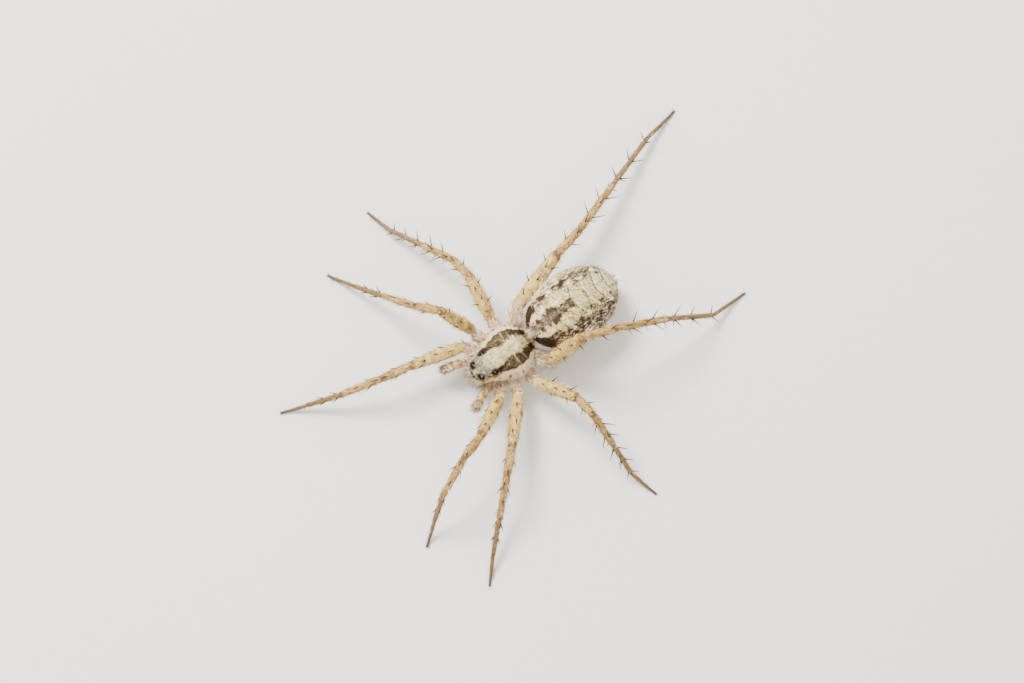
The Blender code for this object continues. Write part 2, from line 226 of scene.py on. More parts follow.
def legJoints(side, number):
    x, y, heading, length = legPlan["coxae"][side][number]
    out = outward[side]
    joints = [np.array((out * x, y, legPlan["coxaHeight"]))]
    joints.append(joints[-1] + direction(side, heading, legPlan["coxaRise"]) * length)
    *raised, tarsusHeading = legPlan["stance"][side][number]
    *lengths, tarsusLength = legPlan["lengths"][number]
    for pieceLength, (turn, rise) in zip(lengths, raised):
        joints.append(joints[-1] + direction(side, turn, rise) * pieceLength)
    drop = (joints[-1][2] - legPlan["solidTipHeight"]) / tarsusLength
    tarsusFall = -math.degrees(math.asin(drop))
    joints.append(joints[-1] + direction(side, tarsusHeading, tarsusFall) * tarsusLength)
    return joints


def rounded(values, spread, step):
    # a running average that keeps both ends where they are
    reach = int(3 * spread / step)
    offsets = np.arange(-reach, reach + 1)
    weights = np.exp(-0.5 * (offsets * step / spread) ** 2)
    weights /= weights.sum()
    first, last = values[0], values[-1]
    before = 2 * first - values[reach:0:-1]
    after = 2 * last - values[-2:-reach - 2:-1]
    padded = np.concatenate((before, values, after))
    columns = [np.convolve(column, weights, "valid") for column in padded.reshape(len(padded), -1).T]
    return np.stack(columns, 1).reshape(values.shape)


def legPath(side, number):
    # middle line of the bare leg: places, half thicknesses, and the stretch, 0 to 6 from coxa to claws
    joints = legJoints(side, number)
    joints[-1][2] = legPlan["tipHeight"]
    places, girths, stretches = [], [], []
    for index, kind in enumerate(legPlan["pieces"]):
        last = kind == "tarsus"
        start, end = joints[index], joints[index + 1]
        count = int(np.linalg.norm(end - start) / legPlan["step"])
        shares = np.arange(count + last) / count
        line = start + (end - start) * shares[:, None]
        if last:
            line[:, 2] = end[2] + (start[2] - end[2]) * (1 - shares) ** legPlan["footSettle"]
        line[:, 2] += legPlan["arch"].get(kind, 0.0) * np.sin(np.pi * shares)
        swell = legPlan["femurSwell"][number] if kind == "femur" else 1.0
        shareAt, girthAt = zip(*legPlan["girth"][kind])
        places.append(line)
        girths.append(np.interp(shares, shareAt, girthAt) * swell)
        stretches.append(index + shares)
    places = rounded(np.concatenate(places), legPlan["kneeRounding"], legPlan["step"])
    girths = rounded(np.concatenate(girths), legPlan["girthRounding"], legPlan["step"])
    return places, girths, np.concatenate(stretches)


carapacePlan = {
    "rows": (  # y, half width, underside, rim, ridge, from the face to the waist
        (-3.075, 0.00, 1.97, 1.97, 1.97),
        (-3.070, 0.28, 1.85, 1.97, 2.10),
        (-3.035, 0.43, 1.80, 1.96, 2.20),
        (-2.93, 0.54, 1.77, 1.94, 2.32),
        (-2.80, 0.60, 1.72, 1.90, 2.43),
        (-2.60, 0.66, 1.64, 1.84, 2.50),
        (-2.35, 0.77, 1.54, 1.76, 2.53),
        (-2.02, 0.95, 1.50, 1.71, 2.52),
        (-1.66, 1.13, 1.48, 1.68, 2.47),
        (-1.30, 1.22, 1.48, 1.66, 2.41),
        (-0.94, 1.18, 1.48, 1.65, 2.32),
        (-0.58, 1.00, 1.48, 1.64, 2.15),
        (-0.30, 0.72, 1.49, 1.63, 1.92),
        (-0.14, 0.46, 1.52, 1.63, 1.76),
        (-0.08, 0.22, 1.58, 1.64, 1.69),
        (-0.07, 0.00, 1.64, 1.64, 1.64),
    ),
    "sides": 144,
    "rings": 120,
    "squareness": 2.25,
    "foveaY": -0.87,
    "foveaHalfLength": 0.20,
    "foveaDepth": 0.055,
    "furrowDepth": 0.022,
    "neckDepth": 0.035,
}

abdomenPlan = {
    "front": 0.05,
    "length": 4.50,
    "halfWidth": 1.60,
    "middle": 1.84,
    "tailDrop": 0.18,
    "up": 1.16,
    "down": 1.07,
    "bluntness": 0.36,
    "squareness": 2.2,
    "sides": 176,
    "rings": 150,
    "lumps": 0.018,
    "pits": ((0.34, 1.30), (0.40, 2.05), (0.42, 2.75)),  # dimples beside the middle line
    "pitDepth": 0.035,
}

eyePlan = {  # radius, distance from the middle line, place along the body, height, rise of its rim
    "eye_front_inner": (0.075, 0.09, -3.075, 1.98, 0.012),
    "eye_front_outer": (0.060, 0.25, -3.06, 1.99, 0.010),
    "eye_middle": (0.140, 0.305, -2.87, 2.29, 0.026),
    "eye_rear": (0.125, 0.51, -2.27, 2.38, 0.026),
}


def eyeCentres():
    found = []
    for side, out in outward.items():
        for name, (radius, x, y, z, rim) in eyePlan.items():
            found.append((f"{name}_{side}", radius, np.array((out * x, y, z)), rim))
    return found


def alongRows(rows, count):
    # a smooth curve through the rows, cut into even steps of its own length
    rows = np.asarray(rows, float)
    fine = np.linspace(0, len(rows) - 1, 1200)
    slopes = np.gradient(rows, axis=0)
    index = np.clip(fine.astype(int), 0, len(rows) - 2)
    share = (fine - index)[:, None]
    a, b = rows[index], rows[index + 1]
    da, db = slopes[index], slopes[index + 1]
    curve = (
        a * (1 + 2 * share) * (1 - share) ** 2
        + da * share * (1 - share) ** 2
        + b * share ** 2 * (3 - 2 * share)
        - db * share ** 2 * (1 - share)
    )
    steps = np.linalg.norm(np.diff(curve[:, (0, 1, 4)], axis=0), axis=1)
    travelled = np.concatenate(([0], np.cumsum(steps)))
    wanted = np.linspace(0, travelled[-1], count)
    return np.stack([np.interp(wanted, travelled, column) for column in curve.T], 1)


def addShell(name, rows, sides, squareness=2.0):
    # a ball whose rings take the rows' widths and heights; its first ring is nearest the head
    rings = len(rows) - 1
    deselectAll()
    bpy.ops.mesh.primitive_uv_sphere_add(segments=sides, ring_count=rings, radius=1)
    shell = bpy.context.active_object
    shell.name = name
    ball = readPoints(shell)
    index = np.rint(np.arccos(np.clip(ball[:, 2], -1, 1)) / np.pi * rings).astype(int)
    turn = np.arctan2(ball[:, 1], ball[:, 0])
    y, halfWidth, low, rim, ridge = rows[index].T
    flat, lift = np.cos(turn), np.sin(turn)
    power = 2 / squareness
    flat = np.sign(flat) * np.abs(flat) ** power
    lift = np.sign(lift) * np.abs(lift) ** power
    height = np.where(lift > 0, ridge - rim, rim - low)
    poles = (index == 0) | (index == rings)
    x = np.where(poles, 0, halfWidth * flat)
    z = np.where(poles, rim, rim + height * lift)
    writePoints(shell, np.stack((x, y, z), 1))
    return shell


def addCarapace():
    plan = carapacePlan
    rows = alongRows(plan["rows"], plan["rings"] + 1)
    shell = addShell("carapaceShell", rows, plan["sides"], plan["squareness"])
    places, normals = readPoints(shell), readNormals(shell)
    x, y, z = places.T
    fromFovea = np.stack((x, y - plan["foveaY"]), 1)
    reach = np.linalg.norm(fromFovea, axis=1)
    turn = np.arctan2(fromFovea[:, 0], fromFovea[:, 1])
    top = fade(1.7, 1.95, z)
    foveaHalf = plan["foveaHalfLength"]
    fovea = np.exp(-(x / 0.035) ** 2) * fade(foveaHalf, 0.6 * foveaHalf, np.abs(y - plan["foveaY"]))
    furrows = np.maximum(0, np.cos(turn * 9)) ** 8 * fade(0.2, 0.35, reach) * fade(1.15, 0.8, reach)
    furrows *= fade(-1.75, -1.5, y)
    neckLine = np.abs(np.abs(x) - (0.16 + 0.62 * np.clip((-1.0 - y) / 1.0, 0, 1)))
    neck = np.exp(-(neckLine / 0.05) ** 2) * fade(-1.0, -1.2, y) * fade(-2.1, -1.9, y)
    depth = plan["foveaDepth"] * fovea + plan["furrowDepth"] * furrows + plan["neckDepth"] * neck
    raised = -depth * top
    for _, radius, centre, rim in eyeCentres():
        away = np.linalg.norm(places - centre, axis=1) / radius
        raised += rim * np.exp(-((away - 1.12) / 0.24) ** 2)
        raised -= 0.4 * radius * fade(1.0, 0.7, away)
    edge = np.exp(-((z - 1.60) / 0.05) ** 2) * (y > -2.3)
    raised += 0.012 * edge
    writePoints(shell, places + normals * raised[:, None])
    return shell


def abdomenRows(shares):
    plan = abdomenPlan
    reach = 2 * shares - 1
    swell = np.clip(1 - reach ** 2, 0, 1)
    rise = swell ** np.where(reach < 0, plan["bluntness"], 0.5)
    middle = plan["middle"] - plan["tailDrop"] * np.maximum(0, reach) ** 2
    y = plan["front"] + shares * plan["length"]
    halfWidth = plan["halfWidth"] * np.sqrt(swell)
    return np.stack((y, halfWidth, middle - plan["down"] * rise, middle, middle + plan["up"] * rise), 1)


def addAbdomen():
    plan = abdomenPlan
    shares = (1 - np.cos(np.linspace(0, np.pi, 600))) / 2
    rows = alongRows(abdomenRows(shares), plan["rings"] + 1)
    shell = addShell("abdomenShell", rows, plan["sides"], plan["squareness"])
    places, normals = readPoints(shell), readNormals(shell)
    x, y, z = places.T
    raised = plan["lumps"] * mottle(places, 0.9) + 0.4 * plan["lumps"] * mottle(places, 0.3, 5)
    for pitX, pitY in plan["pits"]:
        away = np.hypot(np.abs(x) - pitX, y - pitY)
        raised -= plan["pitDepth"] * np.exp(-(away / 0.09) ** 2) * (z > 2)
    folds = np.sin((y + 0.25 * np.abs(x)) * 14) * fade(2.8, 3.4, y) * fade(1.9, 2.4, z)
    raised += 0.008 * folds
    writePoints(shell, places + normals * raised[:, None])
    return shell


def addLimb(name, places, girths, resolution=5):
    # a tube drawn as a curve with its own thickness at each point
    deselectAll()
    bpy.ops.curve.primitive_nurbs_path_add()
    limb = bpy.context.active_object
    limb.name = name
    curve = limb.data
    curve.splines.clear()
    spline = curve.splines.new("POLY")
    spline.points.add(len(places) - 1)
    spline.points.foreach_set("co", np.column_stack((places, np.ones(len(places)))).ravel())
    spline.points.foreach_set("radius", girths)
    curve.bevel_depth = 1.0
    curve.bevel_resolution = resolution
    curve.use_fill_caps = True
    bpy.ops.object.convert(target="MESH")
    limb = bpy.context.active_object
    editAll(limb, lambda: bpy.ops.mesh.remove_doubles(threshold=0.0002), faceOutwards)
    return limb


def bentLimb(name, corners, girths, step=0.05, rounding=0.08, resolution=5):
    # a limb through a few corners; girths are half thicknesses at each corner
    corners = np.asarray(corners, float)
    spans = np.linalg.norm(np.diff(corners, axis=0), axis=1)
    travelled = np.concatenate(([0], np.cumsum(spans)))
    wanted = np.arange(0, travelled[-1], step)
    wanted = np.append(wanted, travelled[-1])
    places = np.stack([np.interp(wanted, travelled, axis) for axis in corners.T], 1)
    thick = np.interp(wanted, travelled, girths)
    middle = rounded(places, rounding, step)
    return addLimb(name, middle, rounded(thick, 0.03, step), resolution), middle


palpPlan = {
    "start": (0.77, -2.86, 1.22),
    "root": (0.40, -2.45, 1.18),
    "pieces": {
        "left": ((0.34, 70, 38), (0.32, 68, -4), (0.34, 66, -46), (0.38, 70, -60)),
        "right": ((0.34, 76, 24), (0.32, 73, 8), (0.34, 72, -26), (0.36, 76, -44)),
    },
    "tip": 0.07,  # past the last piece, to a blunt end
    "girths": (0.15, 0.155, 0.165, 0.165, 0.165, 0.15, 0.03),
    "stretches": (7.0, 7.9),
}

jawPlan = {
    "corners": (
        (0.25, -2.85, 1.82), (0.26, -3.00, 1.62), (0.27, -3.04, 1.30), (0.27, -3.02, 1.00),
        (0.27, -3.0, 0.84),
    ),
    "girths": (0.15, 0.215, 0.225, 0.19, 0.10),
}


def palpCorners(side):
    out = outward[side]
    mirror = np.array((out, 1, 1))
    corners = [np.array(palpPlan["root"]) * mirror, np.array(palpPlan["start"]) * mirror]
    for length, heading, rise in palpPlan["pieces"][side]:
        corners.append(corners[-1] + direction(side, heading, rise) * length)
    corners.append(corners[-1] + direction(side, heading, rise) * palpPlan["tip"])
    return corners


spinneretPlan = {
    "root": (0, 4.14, 1.10),
    "turn": -112,
    "tubes": (  # distance from the middle line, lift, radius, length
        (0.15, 0.13, 0.075, 0.44), (0.07, 0.0, 0.05, 0.34), (0.16, -0.13, 0.078, 0.46),
    ),
    "moundHeights": (-0.30, 0.0, 0.12, 0.17),
    "moundGirths": (0.30, 0.28, 0.238, 0.1),
}


limbPaths = []  # kind, places and stretches of each limb, for the colours and for the coat's lie


underPlan = {
    "trunk": (  # y, half width, underside, rim and ridge, as in the carapace's rows
        (-2.78, 0.0, 1.40, 1.40, 1.40), (-2.74, 0.30, 1.18, 1.40, 1.60), (-2.45, 0.50, 1.08, 1.45, 1.72),
        (-1.90, 0.80, 1.05, 1.45, 1.75), (-1.20, 0.88, 1.04, 1.45, 1.75), (-0.60, 0.74, 1.08, 1.45, 1.74),
        (-0.25, 0.40, 1.25, 1.50, 1.70), (-0.20, 0.0, 1.50, 1.50, 1.50),
    ),
    "sternum": (
        (-2.36, 0.0, 1.20, 1.20, 1.20), (-2.32, 0.30, 1.00, 1.15, 1.30), (-2.0, 0.44, 0.97, 1.15, 1.35),
        (-1.5, 0.50, 0.95, 1.15, 1.35), (-1.0, 0.44, 0.96, 1.15, 1.35), (-0.55, 0.20, 1.0, 1.15, 1.30),
        (-0.48, 0.0, 1.15, 1.15, 1.15),
    ),
    "sides": {"trunk": 36, "sternum": 40},
    "rings": 30,
    "waist": ((0, -0.35, 1.60), (0, 0.02, 1.60), (0, 0.55, 1.66)),
    "waistGirths": (0.20, 0.15, 0.22),
    "lip": ((0.16, -2.25, 1.16), (0.20, -2.55, 1.10), (0.20, -2.74, 1.08)),
    "lipGirths": (0.15, 0.15, 0.08),
}


def addSkinShells():
    shells = {"carapace": [addCarapace()], "abdomen": [addAbdomen()], "under": [], "face": [], "leg": []}
    for name, sides in underPlan["sides"].items():
        rows = alongRows(underPlan[name], underPlan["rings"] + 1)
        shells["under"].append(addShell(name + "Shell", rows, sides))
    shells["under"].append(bentLimb("waistTube", underPlan["waist"], underPlan["waistGirths"])[0])
    for side, out in outward.items():
        mirror = np.array((out, 1, 1))
        corners, girths = np.array(jawPlan["corners"]) * mirror, jawPlan["girths"]
        jaw, _ = bentLimb(f"jawTube{side}", corners, girths, step=0.04, rounding=0.07, resolution=7)
        lip, _ = bentLimb(f"lipTube{side}", np.array(underPlan["lip"]) * mirror, underPlan["lipGirths"])
        shells["face"] += [jaw, lip]
        corners = palpCorners(side)
        palp, middle = bentLimb(f"palpTube{side}", corners, palpPlan["girths"], step=0.045, rounding=0.06)
        shells["leg"].append(palp)
        limbPaths.append(("palp", middle, np.linspace(*palpPlan["stretches"], len(middle))))
        for number in legPlan["lengths"]:
            places, girths, stretches = legPath(side, number)
            shells["leg"].append(addLimb(f"legTube{side}{number}", places, girths))
            limbPaths.append(("leg", places, stretches))
    shells["under"] += addSpinneretShells()
    return shells


def addSpinneretShells():
    turned = Matrix.Rotation(math.radians(spinneretPlan["turn"]), 4, "X")
    carry = Matrix.Translation(spinneretPlan["root"]) @ turned
    mound = [carry @ Vector((0, 0, height)) for height in spinneretPlan["moundHeights"]]
    found = [bentLimb("spinneretMound", mound, spinneretPlan["moundGirths"])[0]]
    for out in (1, -1):
        for index, (x, lift, radius, length) in enumerate(spinneretPlan["tubes"]):
            heights = (-0.05, 0.6 * length, length, length + 0.03)
            corners = [carry @ Vector((out * x, lift, height)) for height in heights]
            girths = (radius, radius * 0.95, radius * 0.6, 0.01)
            tube, _ = bentLimb(f"spinningTube{out}{index}", corners, girths, step=0.03, rounding=0.03)
            found.append(tube)
    return found


def orderFaces(piece):
    # the union hands its faces over in any order, so they are put in one that never changes
    old = piece.data
    faces = []
    for face in old.polygons:
        corners = list(face.vertices)
        first = corners.index(min(corners))
        faces.append((corners[first:] + corners[:first], face.material_index))
    faces.sort()
    mesh = bpy.data.meshes.new(piece.name)
    mesh.from_pydata([point.co for point in old.vertices], [], [corners for corners, _ in faces])
    for finish in old.materials:
        mesh.materials.append(finish)
    mesh.polygons.foreach_set("material_index", [index for _, index in faces])
    mesh.update()
    piece.data = mesh


def joinSkin(shells, finishes):
    # every shell takes its own finish, and a Boolean union makes one closed skin of them
    whole = shells["abdomen"][0]
    others = bpy.data.collections.new("shells")
    bpy.context.scene.collection.children.link(others)
    for kind, pieces in shells.items():
        for piece in pieces:
            piece.data.materials.clear()
            piece.data.materials.append(finishes[kind])
            if piece is not whole:
                others.objects.link(piece)
    union = whole.modifiers.new("union", "BOOLEAN")
    union.operation = "UNION"
    union.operand_type = "COLLECTION"
    union.collection = others
    union.solver = "MANIFOLD"
    union.material_mode = "TRANSFER"
    selectOnly(whole)
    bpy.ops.object.modifier_apply(modifier="union")
    for piece in list(others.objects):
        bpy.data.objects.remove(piece)
    bpy.data.collections.remove(others)
    whole.name = "skin"
    orderFaces(whole)
    bpy.ops.object.shade_smooth_by_angle(angle=math.radians(60))
    return whole


# Colours of the cuticle, then of the hairs over it, as a colour picker gives them.
palette = {
    "cream": ((214, 178, 112), (243, 217, 156)),
    "margin": ((218, 188, 134), (246, 222, 172)),
    "yellowCream": ((208, 192, 100), (238, 222, 126)),
    "olive": ((84, 66, 38), (104, 84, 52)),
    "oliveDark": ((30, 20, 9), (40, 28, 14)),
    "eyePatch": ((30, 13, 7), (40, 19, 11)),
    "headGreen": ((88, 86, 62), (136, 132, 98)),
    "amber": ((150, 104, 50), (182, 136, 78)),
    "heart": ((82, 64, 48), (100, 80, 63)),
    "brown": ((80, 56, 34), (98, 72, 48)),
    "umber": ((34, 20, 11), (44, 26, 15)),
    "dusty": ((140, 114, 78), (180, 152, 114)),
    "white": ((226, 212, 184), (252, 246, 228)),
    "blush": ((206, 164, 120), (240, 206, 166)),
    "straw": ((198, 164, 86), (222, 190, 108)),
    "tan": ((164, 126, 60), (190, 150, 76)),
    "smoke": ((124, 94, 52), (150, 117, 68)),
    "rust": ((120, 60, 24), (146, 84, 42)),
    "ash": ((58, 50, 42), (76, 66, 56)),
    "belly": ((196, 168, 116), (228, 204, 158)),
}


def tint(name, onHair):
    return linear(palette[name][1 if onHair else 0])


def brushFor(colours, onHair):
    # what it returns lays one colour over these where the mask is 1
    def lay(name, mask):
        colours[:] += (tint(name, onHair) - colours) * np.clip(mask, 0, 1)[:, None]

    return lay


def groundColour(name, count, onHair):
    # one colour all over, and the brush that goes over it
    colours = np.tile(tint(name, onHair), (count, 1))
    return colours, brushFor(colours, onHair)


def within(low, high, value, soft=0.03):
    # 1 between two limits, with a soft edge
    return fade(low - soft, low + soft, value) * fade(high + soft, high - soft, value)


def spots(places, centres):
    # 1 inside round spots on both sides of the middle line, ragged at their rims
    x, y = places[:, 0], places[:, 1]
    ragged = 1 + 0.40 * mottle(places, 0.09, 3)
    found = np.zeros(len(places))
    for spotX, spotY, size in centres:
        away = np.hypot(np.abs(x) - spotX, y - spotY) * ragged / size
        found = np.maximum(found, fade(1.2, 0.8, away))
    return found


def onTable(table, value):
    return np.interp(value, *zip(*table))


carapaceMarks = {  # tables go from a place along the body to a distance from the middle line
    "bandOuter": ((-2.25, 0.66), (-1.80, 0.74), (-1.60, 0.82), (-1.30, 0.89), (-0.95, 0.87), (-0.75, 0.84),
                  (-0.55, 0.74), (-0.30, 0.55), (-0.10, 0.42)),
    "bandInner": ((-2.25, 0.48), (-1.75, 0.40), (-1.60, 0.35), (-1.43, 0.25), (-1.25, 0.28), (-1.10, 0.33),
                  (-0.95, 0.28), (-0.78, 0.38), (-0.62, 0.27), (-0.30, 0.22), (-0.08, 0.22)),
    "jag": 0.12,
    "rim": 0.045,
    "paleLine": (-1.10, 0.016, 0.30, 0.80),  # place along, half width, from and to
    "eyeLine": ((-2.80, 0.50), (-2.50, 0.57), (-2.25, 0.665), (-2.05, 0.68)),
    "patchWidth": ((-2.42, 0.12), (-2.25, 0.16), (-2.10, 0.16), (-1.98, 0.12), (-1.86, 0.07),
                   (-1.70, 0.04)),
    "patchMiddle": ((-2.42, 0.55), (-2.10, 0.54), (-1.86, 0.50), (-1.70, 0.48)),
    "marginSpots": ((1.01, -1.77, 0.06), (1.14, -1.17, 0.065), (0.80, -2.20, 0.035), (0.66, -2.52, 0.03),
                    (1.02, -0.66, 0.045), (1.10, -1.48, 0.035)),
}


def headField(side, y):
    # 1 on the greenish front of the head, which the pale middle enters as a wedge
    return fade(0.10, -0.10, y + 2.47 - 0.7 * side)


def carapaceColours(places, onHair):
    marks = carapaceMarks
    x, y, z = places.T
    side = np.abs(x)
    foveaY = carapacePlan["foveaY"]
    reach = np.hypot(x, y - foveaY)
    turn = np.arctan2(x, y - foveaY)
    rays = np.stack((turn * 3.6, reach * 0.6, np.zeros(len(x))), 1)
    fine = mottle(rays, 0.12, 4)
    grit = mottle(places, 0.055, 2)
    cloud = mottle(places, 0.22, 7)
    colours, lay = groundColour("cream", len(places), onHair)
    lay("white", 0.50 * fade(0.0, 0.5, fine))
    lay("dusty", 0.60 * fade(0.05, 0.45, -fine + 0.3 * cloud))

    jag = mottle(rays, 0.36) * 0.8 + fine * 0.7
    outer = onTable(marks["bandOuter"], y) + 0.022 * np.sin(y * 17) + 0.02 * mottle(places, 0.10)
    inner = onTable(marks["bandInner"], y) + marks["jag"] * jag * fade(-2.0, -1.6, y)
    lay("margin", fade(outer - 0.02, outer + 0.03, side))
    pinkish = fade(0.0, 0.5, mottle(places, 0.45, 9)) * fade(outer, outer + 0.1, side)
    lay("blush", 0.6 * pinkish)
    lay("white", 0.55 * fade(outer, outer + 0.06, side) * (grit > 0.05))

    eyeField = (0.75 + 0.25 * fade(0.0, 0.12, side + 0.1 * cloud)) * fade(0.60, 0.54, side)
    face = fade(-2.90, -2.98, y)
    greenish = np.maximum(eyeField * headField(side, y + 0.10 * cloud + 0.05 * grit), 0.8 * face)
    greenish *= fade(1.95, 2.15, z)
    lay("headGreen", 0.95 * greenish)
    lay("umber", 0.60 * greenish * fade(0.08, 0.25, grit))
    lay("white", 0.50 * greenish * fade(0.18, 0.35, -grit))

    band = fade(inner - 0.02, inner + 0.02, side) * fade(outer + 0.018, outer - 0.018, side)
    band *= fade(-2.16, -1.96, y + 0.1 * cloud) * fade(-0.02, -0.08, y)
    rear = fade(-1.25, -0.55, y)
    lay("olive", band)
    net = mottle(places, 0.05, 2) + 0.3 * fine
    # painted shade: towards +x, the side away from the key lamp, the band's dark blotches spread and its
    # dusty patches thin out
    shaded = 0.05 + 0.04 * fade(-0.2, 0.2, x)
    blotch = fade(-0.02, 0.12, net + 0.25 * rear + shaded)
    lay("oliveDark", band * (0.65 + 0.25 * rear) * blotch)
    lay("dusty", 0.6 * band * (1 - 0.8 * rear) * fade(0.12, 0.28, -net - shaded))
    edge = band * fade(outer - 2 * marks["rim"], outer - marks["rim"], side) * fade(-2.0, -1.6, y)
    lay("oliveDark", 0.85 * edge)
    lineY, lineHalf, lineFrom, lineTo = marks["paleLine"]
    bowed = lineY + 0.10 * (side - 0.5) ** 2
    paleLine = fade(2 * lineHalf, 0.6 * lineHalf, np.abs(y - bowed)) * within(lineFrom, lineTo, side, 0.05)
    lay("cream", 0.50 * paleLine)
    paleRays = np.maximum(0, np.cos(turn * 9 + 0.6)) ** 30 * within(0.40, 0.75, reach, 0.08)
    lay("dusty", 0.7 * band * paleRays)

    away = np.abs(side - onTable(marks["patchMiddle"], y)) / onTable(marks["patchWidth"], y)
    patch = fade(1.15, 0.8, away + 0.15 * mottle(places, 0.08)) * within(-2.44, -1.72, y, 0.04)
    lay("eyePatch", patch)
    lay("rust", 0.20 * patch * within(-2.20, -2.05, y))
    lineAway = side - onTable(marks["eyeLine"], y)
    eyeLine = fade(0.05, 0.02, np.abs(lineAway)) * within(-2.85, -2.02, y, 0.08)
    lay("brown", 0.85 * eyeLine)
    lay("amber", 0.80 * eyeLine * fade(-0.2, 0.2, x + cloud))
    eyeDots = fade(0.07, 0.03, np.abs(lineAway + 0.06)) * within(-2.80, -2.40, y, 0.05)
    lay("umber", 0.85 * eyeDots * fade(-0.1, 0.1, grit))
    for _, radius, centre, _ in eyeCentres():
        away = np.linalg.norm(places - centre, axis=1) / radius
        lay("umber", fade(1.42, 1.18, away))
    faceLine = within(2.02, 2.07, z, 0.015) * fade(0.42, 0.36, side) * (y < -2.95)
    lay("umber", 0.8 * faceLine)
    foveaLine = fade(0.034, 0.018, np.abs(x - 0.03)) * (within(-1.10, -0.72, y) + within(-2.50, -2.28, y))
    foveaLine += fade(0.034, 0.018, np.abs(x - 0.12)) * within(-2.22, -2.02, y)
    lay("brown", 0.6 * foveaLine * fade(-0.25, 0.0, grit))

    corner = fade(-0.42, -0.22, y) * fade(0.20, 0.26, side) * fade(0.62, 0.50, side)
    lay("oliveDark", corner)
    waistPatch = fade(-0.36, -0.24, y + 0.06 * cloud) * fade(0.25, 0.17, side)
    lay("amber", waistPatch)
    lay("brown", 0.9 * spots(places, marks["marginSpots"]) * (z > 1.6))
    speckle = fade(0.40, 0.55, grit) * (1 - band)
    lay("brown", 0.40 * speckle)
    return colours


abdomenMarks = {  # tables go from a place along the body to a distance from the middle line
    "stripe": ((0.25, 0.12), (0.50, 0.16), (0.90, 0.20), (1.30, 0.21), (1.70, 0.17), (2.05, 0.14),
               (2.30, 0.12)),
    "stripeSpots": ((0.21, 0.22, 0.075), (0.25, 0.34, 0.06), (0.22, 0.55, 0.105), (0.28, 0.92, 0.075),
                    (0.31, 1.18, 0.125), (0.28, 1.34, 0.12), (0.21, 1.50, 0.09), (0.16, 1.83, 0.08),
                    (0.14, 2.12, 0.08), (0.15, 2.26, 0.08)),
    "shoulderMiddle": ((0.0, 0.34), (0.10, 0.47), (0.20, 0.61), (0.35, 0.77), (0.55, 0.88), (0.80, 0.95)),
    "shoulderHalf": ((0.0, 0.24), (0.15, 0.29), (0.35, 0.30), (0.55, 0.25), (0.80, 0.12)),
    "bandMiddle": ((0.60, 0.86), (1.0, 0.88), (1.25, 0.98), (1.60, 1.10), (1.95, 1.08), (2.25, 0.95),
                   (2.50, 1.12), (3.2, 1.10), (4.0, 0.80)),
    "bandHalf": ((0.60, 0.22), (1.4, 0.24), (2.2, 0.24), (2.8, 0.20), (3.4, 0.16), (4.4, 0.10)),
    "sideSpots": ((0.91, 2.26, 0.13), (1.08, 2.43, 0.12), (0.62, 2.88, 0.065), (0.57, 2.47, 0.045),
                  (0.0, 2.90, 0.03), (0.67, 3.46, 0.095), (0.84, 3.62, 0.07), (0.56, 4.0, 0.075),
                  (1.05, 1.95, 0.06), (1.34, 1.65, 0.05), (0.80, 3.20, 0.045), (1.12, 3.12, 0.06),
                  (0.98, 3.85, 0.06), (0.30, 3.42, 0.03), (0.33, 4.28, 0.05)),
    "whiteSpots": ((0.82, 2.66, 0.10), (0.80, 3.90, 0.10), (0.72, 3.26, 0.07), (0.98, 1.75, 0.08),
                   (0.36, 1.62, 0.06), (0.52, 0.95, 0.06), (0.62, 1.60, 0.07)),
    "arches": (2.38, 3.00, 3.57, 4.08),  # where the pale arches of the rear half cross the middle line
    "archBow": 0.36,
}


